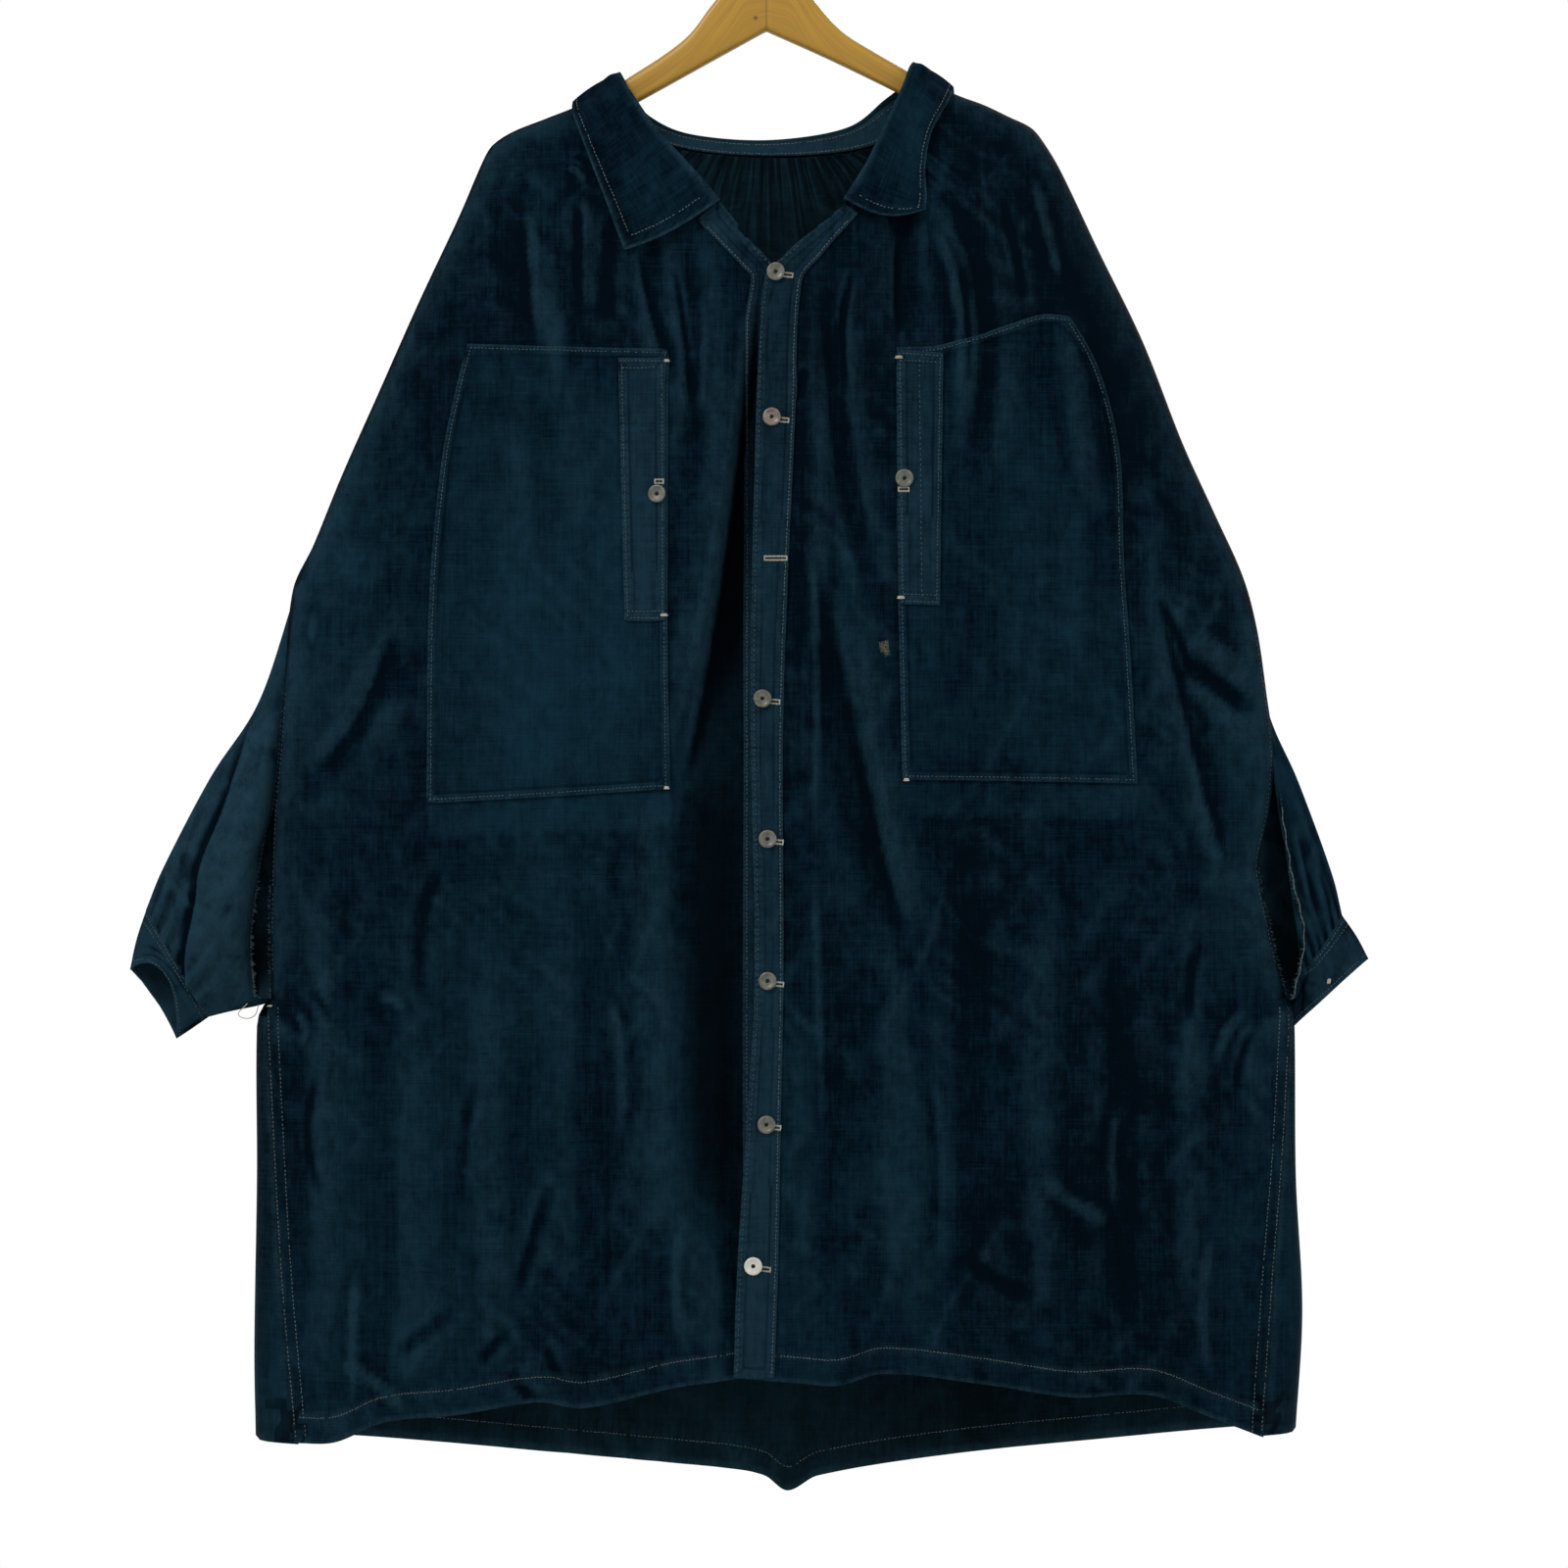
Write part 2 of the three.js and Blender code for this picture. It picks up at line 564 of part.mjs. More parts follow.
// A closed wall of cloth from the rows of a surface.
function wallFromRows(surface, rows, thickness = CLOTH) {
  const points = [];
  const faces = { out: [], in: [] };
  const sideStep = surface.sideStep ?? 0.5;
  rows.forEach((row) => {
    const out = [];
    const inn = [];
    for (const { u } of row.points) {
      const du = sideStep / surface.width(row.v, u < 0 ? 'right' : 'left');
      const [a, b] = offsetPoint(surface.place, u, row.v, du, 0.002,
        [surface.lift + thickness / 2, surface.lift - thickness / 2]);
      out.push(points.push(a) - 1);
      inn.push(points.push(b) - 1);
    }
    faces.out.push(out);
    faces.in.push(inn);
  });
  const triangles = [];
  const keys = rows.map((row) => row.points.map((point) => point.key));
  for (let r = 1; r < rows.length; r += 1) {
    zip(faces.out[r - 1], faces.out[r], keys[r - 1], keys[r], (a, b, c) => triangles.push([a, b, c]));
    zip(faces.in[r - 1], faces.in[r], keys[r - 1], keys[r], (a, b, c) => triangles.push([a, c, b]));
  }
  const rim = (outs, ins, flip) => {
    for (let i = 1; i < outs.length; i += 1) {
      const [a, b, c, d] = [outs[i - 1], outs[i], ins[i], ins[i - 1]];
      triangles.push(flip ? [a, c, b] : [a, b, c], flip ? [a, d, c] : [a, c, d]);
    }
  };
  rim(faces.out[0], faces.in[0], false);
  rim(faces.out.at(-1), faces.in.at(-1), true);
  rim(faces.out.map((row) => row[0]), faces.in.map((row) => row[0]), true);
  rim(faces.out.map((row) => row.at(-1)), faces.in.map((row) => row.at(-1)), false);
  return solidGeometry(points, triangles);
}

// A closed tube of cloth. Rings run round by a share from 0 to 1, and along by a share from 0 to 1.
function wallFromRings(place, around, along, thickness = CLOTH) {
  const points = [];
  const outs = [];
  const ins = [];
  for (const w of along) {
    const out = [];
    const inn = [];
    for (const u of around) {
      const wrapped = (a, b) => place(((a % 1) + 1) % 1, b);
      const [a, b] = offsetPoint(wrapped, u, w, 0.004, 0.01, [thickness / 2, -thickness / 2]);
      out.push(points.push(a) - 1);
      inn.push(points.push(b) - 1);
    }
    outs.push(out);
    ins.push(inn);
  }
  const triangles = [];
  const quad = (a, b, c, d) => triangles.push([a, b, c], [a, c, d]);
  const count = around.length;
  for (let i = 0; i < count; i += 1) {
    const j = (i + 1) % count;
    for (let r = 1; r < along.length; r += 1) {
      quad(outs[r - 1][i], outs[r][i], outs[r][j], outs[r - 1][j]);
      quad(ins[r - 1][i], ins[r - 1][j], ins[r][j], ins[r][i]);
    }
    quad(outs[0][i], outs[0][j], ins[0][j], ins[0][i]);
    quad(outs.at(-1)[i], ins.at(-1)[i], ins.at(-1)[j], outs.at(-1)[j]);
  }
  return solidGeometry(points, triangles);
}

// Cuts and joins
function toManifold(geometry) {
  return new wasm.Manifold(new wasm.Mesh({
    numProp: 3,
    vertProperties: new Float32Array(geometry.attributes.position.array),
    triVerts: new Uint32Array(geometry.index.array),
  }));
}

function fromManifold(solid) {
  const mesh = solid.getMesh();
  const geometry = new THREE.BufferGeometry();
  geometry.setAttribute('position', new THREE.BufferAttribute(new Float32Array(mesh.vertProperties), 3));
  geometry.setIndex(new THREE.BufferAttribute(new Uint32Array(mesh.triVerts), 1));
  return geometry;
}

// A prism along Y on an outline, deep enough to pass through one side of the cloth.
function prism(outline, fromY, toY) {
  const points = [];
  for (const y of [fromY, toY]) {
    for (const { x, z } of outline) points.push(new THREE.Vector3(x, y, z));
  }
  const count = outline.length;
  const contour = outline.map(({ x, z }) => new THREE.Vector2(x, z));
  const caps = THREE.ShapeUtils.triangulateShape(contour, []);
  const triangles = [];
  for (const [a, b, c] of caps) {
    triangles.push([a, b, c], [a + count, c + count, b + count]);
  }
  const cross = THREE.ShapeUtils.isClockWise(contour) !== true;
  for (let i = 0; i < count; i += 1) {
    const j = (i + 1) % count;
    const sides = [[i, i + count, j + count], [i, j + count, j]];
    triangles.push(...(cross ? sides : sides.map(([a, b, c]) => [a, c, b])));
  }
  return toManifold(solidGeometry(points, triangles));
}

const FRONT_CUT = { from: -90, to: -2 };

// A piece that lies on a front, cut from the same wall moved out.
function pieceOnFront(side, outline, layer) {
  const surface = frontSurface(side, layer * LAYER_STEP);
  const wall = toManifold(wallFromRows(surface, frontRows(surface)));
  return fromManifold(wall.intersect(prism(outline, FRONT_CUT.from, FRONT_CUT.to)));
}

function makeFront(side) {
  const surface = frontSurface(side);
  const wall = wallFromRows(surface, frontRows(surface));
  if (side === 'right') return wall;
  return fromManifold(toManifold(wall).subtract(prism(TORN_HOLE, FRONT_CUT.from, FRONT_CUT.to)));
}

function makeBack() {
  const surface = backSurface();
  return wallFromRows(surface, backRows(surface));
}

// Sleeve and cuff rings: the first half runs down the front side, the second up the back side.
function ringSurface(side, rows, extra) {
  return (share, w) => {
    const at = rows.at(-1).at * w;
    const value = (name) => column(rows, 'at', name, at);
    const front = share < 0.5;
    const t = front ? share * 2 : 2 - share * 2;
    const round = Math.sin(Math.PI * clamp(t, 0, 1)) ** 0.7;
    const x = mix(value('tx'), value('bx'), t);
    const z = mix(value('tz'), value('bz'), t);
    const depth = value(front ? 'front' : 'back') * round;
    return extra({ side, x, z, depth, t, w, front, value, round });
  };
}

function sleeveSurface(side) {
  const [edge, first] = [SLEEVE_EDGE[side], SLEEVE[side][0]];
  return ringSurface(side, SLEEVE[side], ({ x, z, depth, t, w, front, round }) => {
    const armhole = column(edge, 'z', 'x', mix(first.tz, first.bz, t));
    const body = column([SHOULDER[side].at(-1), ...ARMHOLE[side]], 'z', 'x', mix(first.tz, first.bz, t));
    const backEdge = body + outward[side] * SLEEVE_SEAM;
    const straight = mix(first.tx, first.bx, t);
    const px = x + ((front ? armhole : backEdge) - straight) * (1 - w) ** 2;
    const folds = front ? relief(SLEEVE_FOLDS[side], px, z) * round * ease(w / 0.15) : 0;
    const wave = Math.cos(2 * Math.PI * SLEEVE_GATHERS * t) * Math.exp(-(1 - w) * 7);
    const out = depth + folds + SLEEVE_GATHER_DEPTH * wave * round;
    return [px, front ? -out : out, z];
  });
}

function cuffSurface(side) {
  return ringSurface(side, CUFF[side], ({ x, z, depth, front, value, round }) => {
    const pull = front ? value('pull') * round : 0;
    return [x - outward[side] * pull * 0.45, front ? -depth : depth, z + pull * 0.9];
  });
}

function ringShares(count) {
  return Array.from({ length: count }, (_, i) => i / count);
}

function makeSleeve(side) {
  return wallFromRings(sleeveSurface(side), ringShares(4 * SLEEVE_GATHERS), [0, 0.08, 0.2, 0.35, 0.52, 0.7,
    0.84, 0.94, 1]);
}

function makeCuff(side) {
  return wallFromRings(cuffSurface(side), ringShares(24), [0, 0.5, 1]);
}

// The collar's rows run round the neck by a share from 0 to 1.
const COLLAR_ROWS = COLLAR.map((row, i) => {
  const side = row.nx < 0 ? 'right' : 'left';
  const [centre, shoulder] = [V_EDGE[side].at(-1), SHOULDER[side][0]];
  const share = (row.nx - centre.x) / (shoulder.x - centre.x);
  const seam = {
    front: (z = mix(centre.z, shoulder.z, share)) => ({ ny: -frontDepth(side, row.nx, z), nz: z }),
    top: () => ({ ny: 0, nz: shoulder.z + 1 }),
    back: (z = column(BACK_NECK, 'x', 'z', row.nx)) => ({ ny: backDepth(row.nx, z), nz: z }),
  }[row.part]();
  return { ...row, ...seam, at: i / (COLLAR.length - 1) };
});
const collarPoint = (prefix, at) => new THREE.Vector3(
  ...['x', 'y', 'z'].map((axis) => column(COLLAR_ROWS, 'at', prefix + axis, at)));

function standSurface() {
  const place = (u, v) => {
    const at = clamp(u, 0, 1);
    const neck = collarPoint('n', at);
    const roll = collarPoint('r', at);
    const clear = STAND_CLEAR / neck.distanceTo(roll);
    const point = neck.lerp(roll, clear + v * (1 - clear));
    return [point.x, point.y, point.z];
  };
  return { place, width: () => 500, length: 15, lift: 0, sideStep: 2 };
}

// The leaf turns over the stand's top and lies outside the panels.
const LEAF_TURN = 2.6;
const LEAF_CLEAR = 5.4;
function leafSurface() {
  const place = (u, v) => {
    const at = clamp(u, 0, 1);
    const neck = collarPoint('n', at);
    const roll = collarPoint('r', at);
    const edge = collarPoint('e', at);
    const up = roll.clone().sub(neck).normalize();
    const away = edge.clone().sub(roll).normalize();
    const point = roll.clone().lerp(edge, v).addScaledVector(up, LEAF_TURN * Math.exp(-v * 6));
    const facing = clamp(roll.y / 14, -1, 1);
    const out = new THREE.Vector3(0, facing, Math.sqrt(1 - facing * facing));
    point.addScaledVector(away, 0.6).addScaledVector(out, 1.4 + 2 * Math.exp(-v * 4));
    const side = point.x < 5 ? 'right' : 'left';
    const inside = distance(BODY_OUTLINE[side], point.x, point.z);
    const onPanel = ease(v * 5) * ease(inside / 2);
    const front = -frontDepth(side, point.x, point.z) - LEAF_CLEAR;
    const back = backDepth(point.x, point.z) + LEAF_CLEAR;
    if (point.y < -4) point.y = Math.min(point.y, mix(point.y, front, onPanel));
    if (point.y > 4) point.y = Math.max(point.y, mix(point.y, back, onPanel));
    return [point.x, point.y, point.z];
  };
  return { place, width: () => 500, length: 60, lift: 0, sideStep: 2 };
}

function collarWall(surface, across, down) {
  const rows = down.map((v) => ({
    v,
    points: Array.from({ length: across + 1 }, (_, i) => ({ u: i / across, key: i / across })),
  }));
  return wallFromRows(surface, rows);
}

// Buttons
function frontNormal(side, x, z) {
  const step = 2;
  const dx = (frontDepth(side, x + step, z) - frontDepth(side, x - step, z)) / (2 * step);
  const dz = (frontDepth(side, x, z + step) - frontDepth(side, x, z - step)) / (2 * step);
  return new THREE.Vector3(-dx, -1, -dz).normalize();
}

function makeButton() {
  const profile = [[0, 0], [6.2, 0], [BUTTON_RADIUS, 1.3], [5.4, BUTTON_HEIGHT], [0, 1.9]];
  return new THREE.LatheGeometry(profile.map(([r, h]) => new THREE.Vector2(r, h)), 12);
}

function placeButton(mesh, side, x, z, layers) {
  const normal = frontNormal(side, x, z);
  const seat = CLOTH / 2 + layers * LAYER_STEP + SEAM_GAP;
  mesh.position.set(x, -frontDepth(side, x, z), z).addScaledVector(normal, seat);
  mesh.quaternion.setFromUnitVectors(new THREE.Vector3(0, 1, 0), normal);
}

// One arm of the hanger, rounded off on top where the cloth lies.
function makeHangerArm(side) {
  const sign = outward[side];
  const end = SHOULDER[side].findIndex(({ x }) => Math.abs(x) > HANGER_REACH);
  const seat = SHOULDER[side].slice(0, end).map((point, i, list) => {
    const a = list[Math.max(0, i - 1)];
    const b = list[Math.min(list.length - 1, i + 1)];
    const length = Math.hypot(b.x - a.x, b.z - a.z);
    return {
      x: point.x - (sign * HANGER_SEAT * Math.abs(b.z - a.z)) / length,
      z: point.z - (HANGER_SEAT * Math.abs(b.x - a.x)) / length,
    };
  });
  const top = route([...HANGER_TOP[side], ...seat]);
  const section = table('half down', [[1.8, 0.4], [4.4, 2], [HANGER_HALF, 5.5]]);
  const stations = 16;
  const points = [];
  for (let i = 0; i <= stations; i += 1) {
    const share = i / stations;
    const at = top.at(share);
    const tail = ease((1 - share) / 0.06);
    const narrow = mix(0.6, 1, tail);
    const topZ = at.z - 2.5 * (1 - tail);
    const foot = column(HANGER_LOW[side], 'x', 'z', at.x);
    const height = Math.max(HANGER_TIP_HEIGHT, mix(HANGER_TIP_HEIGHT, topZ - foot, tail));
    const half = [...section, { half: HANGER_HALF, down: height }];
    for (const { half: y, down } of half) points.push(new THREE.Vector3(at.x, -y * narrow, topZ - down));
    for (const { half: y, down } of half.reverse()) points.push(new THREE.Vector3(at.x, y * narrow, topZ - down));
  }
  const ring = points.length / (stations + 1);
  const triangles = [];
  for (let i = 0; i < stations; i += 1) {
    for (let k = 0; k < ring; k += 1) {
      const [a, b] = [i * ring + k, i * ring + ((k + 1) % ring)];
      triangles.push([a, b, b + ring], [a, b + ring, a + ring]);
    }
  }
  for (let k = 1; k < ring - 1; k += 1) {
    triangles.push([0, k + 1, k]);
    triangles.push([stations * ring, stations * ring + k, stations * ring + k + 1]);
  }
  return solidGeometry(points, triangles);
}

// The hook is a bent wire. Its bowl's inside top is the origin.
function makeHook() {
  const centre = WIRE_RADIUS - HOOK_RADIUS;
  const path = new THREE.CurvePath();
  const shankTop = new THREE.Vector3(-2, 0, -46);
  path.add(new THREE.LineCurve3(new THREE.Vector3(-2, 0, HOOK_SHANK_Z), shankTop));
  const arc = [];
  for (let angle = -62; angle <= 195; angle += 15) {
    const turn = (angle * Math.PI) / 180;
    arc.push(new THREE.Vector3(Math.cos(turn) * HOOK_RADIUS, 0, centre + Math.sin(turn) * HOOK_RADIUS));
  }
  const bend = new THREE.CatmullRomCurve3([shankTop, new THREE.Vector3(1.5, 0, -38), ...arc]);
  path.add(bend);
  const circle = new THREE.Shape(Array.from({ length: 8 }, (_, i) => new THREE.Vector2(
    WIRE_RADIUS * Math.cos((i * Math.PI) / 4), WIRE_RADIUS * Math.sin((i * Math.PI) / 4))));
  return new THREE.ExtrudeGeometry(circle, { steps: 26, bevelEnabled: false, extrudePath: path });
}

// Materials
const linen = () => new THREE.MeshStandardMaterial({ color: 0x1f3440, roughness: 0.95, metalness: 0 });
const linenWorn = () => new THREE.MeshStandardMaterial({ color: 0x2b4453, roughness: 0.95, metalness: 0 });
const wood = () => new THREE.MeshStandardMaterial({ color: 0xc89a4c, roughness: 0.45, metalness: 0 });
const steel = () => new THREE.MeshStandardMaterial({ color: 0xb8bcc0, roughness: 0.25, metalness: 1 });
const horn = () => new THREE.MeshStandardMaterial({ color: 0x8a8379, roughness: 0.35, metalness: 0 });

const smock = new THREE.Group();

function add(name, geometry, material) {
  const mesh = new THREE.Mesh(geometry, material);
  mesh.name = name;
  smock.add(mesh);
  return mesh;
}

for (const side of ['right', 'left']) {
  add(`front_${side}`, makeFront(side), linen());
  add(`pocket_${side}`, pieceOnFront(side, POCKET[side], 1), linen());
  add(`pocket_welt_${side}`, pieceOnFront(side, WELT[side], 2), linenWorn());
  add(`button_band_${side}`, pieceOnFront(side, BAND[side], 1), linenWorn());
  add(`sleeve_${side}`, makeSleeve(side), linen());
  add(`cuff_${side}`, makeCuff(side), linenWorn());
  add(`hanger_arm_${side}`, makeHangerArm(side), wood());
}
add('back', makeBack(), linen());
add('collar_stand', collarWall(standSurface(), 36, [0, 0.45, 0.8]), linenWorn());
add('collar_leaf', collarWall(leafSurface(), 36, [0, 0.12, 0.35, 0.65, 1]), linen());
for (const { name, x, z } of BUTTONS) placeButton(add(name, makeButton(), horn()), 'left', x, z, 1);
for (const { name, side, x, z } of POCKET_BUTTONS) {
  placeButton(add(name, makeButton(), horn()), side, x, z, 2);
}
add('hanger_hook', makeHook(), steel());

export default smock;
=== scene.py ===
"""A worn indigo linen work smock on a flat wooden hanger.

The cloth is built in millimetres from short tables, then scaled to metres.
The front faces -Y, +X is on the viewer's right and the origin is the inside top of the hanger's hook.
"""
import math

import bpy
import numpy as np
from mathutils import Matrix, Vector
from mathutils.bvhtree import BVHTree


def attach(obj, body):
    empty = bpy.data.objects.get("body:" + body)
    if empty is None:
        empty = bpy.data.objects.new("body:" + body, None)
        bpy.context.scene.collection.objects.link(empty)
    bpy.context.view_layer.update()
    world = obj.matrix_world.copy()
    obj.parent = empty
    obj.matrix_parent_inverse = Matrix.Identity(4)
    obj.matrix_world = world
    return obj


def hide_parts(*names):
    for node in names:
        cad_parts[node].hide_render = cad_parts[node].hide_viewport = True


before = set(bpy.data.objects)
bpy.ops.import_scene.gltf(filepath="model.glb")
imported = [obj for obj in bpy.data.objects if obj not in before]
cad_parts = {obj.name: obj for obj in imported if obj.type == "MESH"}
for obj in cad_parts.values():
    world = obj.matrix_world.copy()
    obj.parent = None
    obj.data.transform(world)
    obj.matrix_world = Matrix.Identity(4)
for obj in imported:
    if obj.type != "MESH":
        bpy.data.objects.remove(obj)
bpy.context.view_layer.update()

MM = 0.001
SIDES = ("right", "left")
OUTWARD = {"right": -1, "left": 1}

# Cloth
CLOTH = 1.0
LAYER = 1.35
EDGE_DEPTH = 0.5
ARMHOLE_DEPTH = 5.7
EDGE_SHARE = 0.35
EDGE_REACH = 4
BELLY_REACH = 60
LEAST_DEPTH = 9
HEM_WIDTH = 20
FRONT_GATHERS = 14
BACK_GATHERS_HALF = 25
SLEEVE_GATHERS = 7
SEWN_UNDER = 3.5
OVERLAP_DEPTH = 7
HEM_RISE = 0.45
LAP_RISE = 0.5
WRAP_UNDER = 3
WRAP_DROP = 0.3
CRUMPLE_SEED = {"right": 11, "left": 23, "back": 37, "sleeve": 51, "cuff": 63}

# How light the cloth is by place, where less is darker, and how far each sleeve is lifted towards the worn
# colour
CHEST_SHADE = -0.22
LOW_SHADE = 0.01
# Painted light: one even, lighter value on the side strips, which face away from the lamps
PAINTED_STRIP_LIGHT = 0.12
SLEEVE_SHADE = {"right": 0.42, "left": 0.1}
SLEEVE_LIFT = {"right": 0.42, "left": 0.06}
POCKET_SHADE = {"right": 0.26, "left": 0.3}
# Painted shade on the body's side away from the light, the viewer's right
PAINTED_FAR_SIDE_SHADE = -0.13

# Camera
CAMERA_AT = (11.4, -2600, -712.1)
VIEW_WIDTH = 1216
SENSOR = 36


def table(names, rows):
    """Rows with named columns, from short lists."""
    return {name: np.array([row[i] for row in rows], float) for i, name in enumerate(names.split())}


def joined(*tables):
    return {name: np.concatenate([t[name] for t in tables]) for name in ("x", "z")}


def ends(rows, i):
    return {name: rows[name][i] for name in rows}


SHOULDER = {
    "right": table("x z", [
        (-128, -176), (-149, -187), (-174, -197), (-199, -207), (-214, -217), (-221, -228), (-240, -272),
        (-271, -338), (-303, -410), (-331, -473), (-353, -527), (-369, -562)]),
    "left": table("x z", [
        (125, -169), (147, -179), (166, -186), (185, -195), (203, -204), (213, -216), (226, -238),
        (254, -297), (289, -369), (320, -448), (345, -503), (367, -552)]),
}
ARMHOLE = {
    "right": table("x z", [
        (-375, -636), (-379, -689), (-383, -730), (-385, -776), (-386, -830), (-386, -880)]),
    "left": table("x z", [(377, -590), (384, -640), (390, -690), (386, -735), (378, -775), (388, -828),
                          (401, -880)]),
}
SIDE_SEAM = {
    "right": table("x z", [(-387, -884), (-382, -977), (-375, -1089), (-363, -1216)]),
    "left": table("x z", [(402, -884), (395, -999), (387, -1089), (378, -1212)]),
}
SIDE_FOLD = {
    "right": table("x z", [(-393, -885), (-397, -900), (-397, -1016), (-399, -1150), (-398, -1217)]),
    "left": table("x z", [(405, -885), (407, -900), (408, -1016), (413, -1120), (408, -1211)]),
}
SLEEVE_EDGE = {
    "right": table("x z", [(-370, -562), (-376.5, -636), (-381, -689), (-386, -730), (-394, -776),
                           (-401, -830), (-398, -880)]),
    "left": table("x z", [(368, -552), (378.5, -590), (385.5, -640), (391.5, -690), (397, -735),
                          (405, -785), (414, -830), (405, -880)]),
}
V_EDGE = {
    "right": table("x z", [(8, -320), (-23, -285), (-39, -265)]),
    "left": table("x z", [(-5, -325), (20, -300), (58, -268)]),
}
CENTRE_EDGE = {
    "right": table("x z", [(8, -320), (8, -540), (8, -860), (4, -1080), (0, -1160)]),
    "left": table("x z", [(-5, -325), (-10, -432), (-14, -647), (-11, -862), (-17, -971), (-24, -1078),
                          (-27, -1163)]),
}
FRONT_HEM = {
    "right": table("x z", [(-363, -1216), (-331, -1214), (-293, -1198), (-240, -1192), (-175, -1182),
                           (-140, -1186), (-68, -1170), (0, -1162)]),
    "left": table("x z", [(-27, -1163), (22, -1167), (52, -1169), (87, -1160), (163, -1168), (230, -1178),
                          (290, -1177), (337, -1195), (378, -1212)]),
}
BACK_HEM = table("x z", [
    (-398, -1217), (-268, -1229), (-173, -1238), (-87, -1246), (-35, -1251), (-4, -1257), (14, -1269),
    (38, -1257), (142, -1240), (275, -1226), (408, -1211)])
BACK_CENTRE = table("x z", [(0, -221), (4, -600), (8, -1000), (14, -1269)])
BACK_NECK = table("x z", [
    (-128, -176), (-114, -194), (-95, -207), (-60, -217), (0, -221), (60, -218), (95, -208), (112, -190),
    (125, -169)])
DEPTH = table("at front back", [
    (-1290, 56, 42), (-1100, 53, 40), (-800, 47, 38), (-500, 42, 35), (-300, 39, 32), (-150, 38, 30)])

# Folds: x and z at the start, middle and end, the width on each side, and how far it stands out
FOLDS = {
    "right": [
        (-6, -330, -27, -520, -62, -720, 5, 34, -26),
        (-17, -322, -41, -520, -80, -706, 24, 6, 7),
        (-34, -600, -42, -830, -36, -1140, 30, 34, -20),
        (-92, -690, -86, -860, -92, -1130, 24, 16, 6),
        (-66, -270, -56, -398, -62, -510, 9, 10, -7),
        (-92, -280, -82, -360, -66, -420, 8, 9, -5),
        (-121, -270, -123, -320, -126, -370, 8, 8, -4),
        (-174, -270, -168, -345, -160, -420, 12, 12, 4),
        (-176, -400, -172, -470, -165, -560, 14, 16, -4),
        (-280, -590, -312, -656, -356, -730, 10, 22, -3.4),
        (-345, -740, -340, -930, -338, -1190, 16, 16, 5),
        (-300, -820, -296, -980, -300, -1200, 14, 16, -5),
        (-210, -800, -214, -960, -205, -1190, 18, 20, 4),
        (-140, -760, -132, -960, -140, -1190, 18, 18, -5),
        (-66, -780, -64, -960, -60, -1180, 18, 18, 6),
        (-30, -780, -28, -960, -32, -1180, 12, 14, -5),
    ],
    "left": [
        (37, -360, 37, -520, 30, -680, 10, 11, 5),
        (48, -300, 51, -420, 88, -600, 9, 10, -8),
        (103, -240, 104, -300, 106, -390, 14, 13, -9),
        (124, -260, 150, -350, 146, -440, 10, 11, 5),
        (142, -260, 164, -350, 152, -490, 10, 12, -6),
        (222, -330, 236, -420, 250, -520, 14, 14, 4),
        (312, -612, 345, -638, 382, -662, 10, 10, -4),
        (298, -560, 322, -660, 356, -790, 6, 26, -7),
        (30, -520, 66, -700, 104, -860, 24, 8, -9),
        (70, -560, 86, -710, 120, -860, 8, 22, 5),
        (50, -860, 46, -980, 54, -1150, 16, 18, -5),
        (100, -800, 96, -960, 104, -1160, 18, 18, 4),
        (150, -740, 154, -930, 148, -1160, 18, 18, -5),
        (212, -760, 206, -960, 214, -1170, 18, 20, 5),
        (262, -780, 268, -960, 262, -1170, 16, 18, -5),
        (326, -840, 320, -980, 326, -1190, 16, 18, 5),
    ],
}
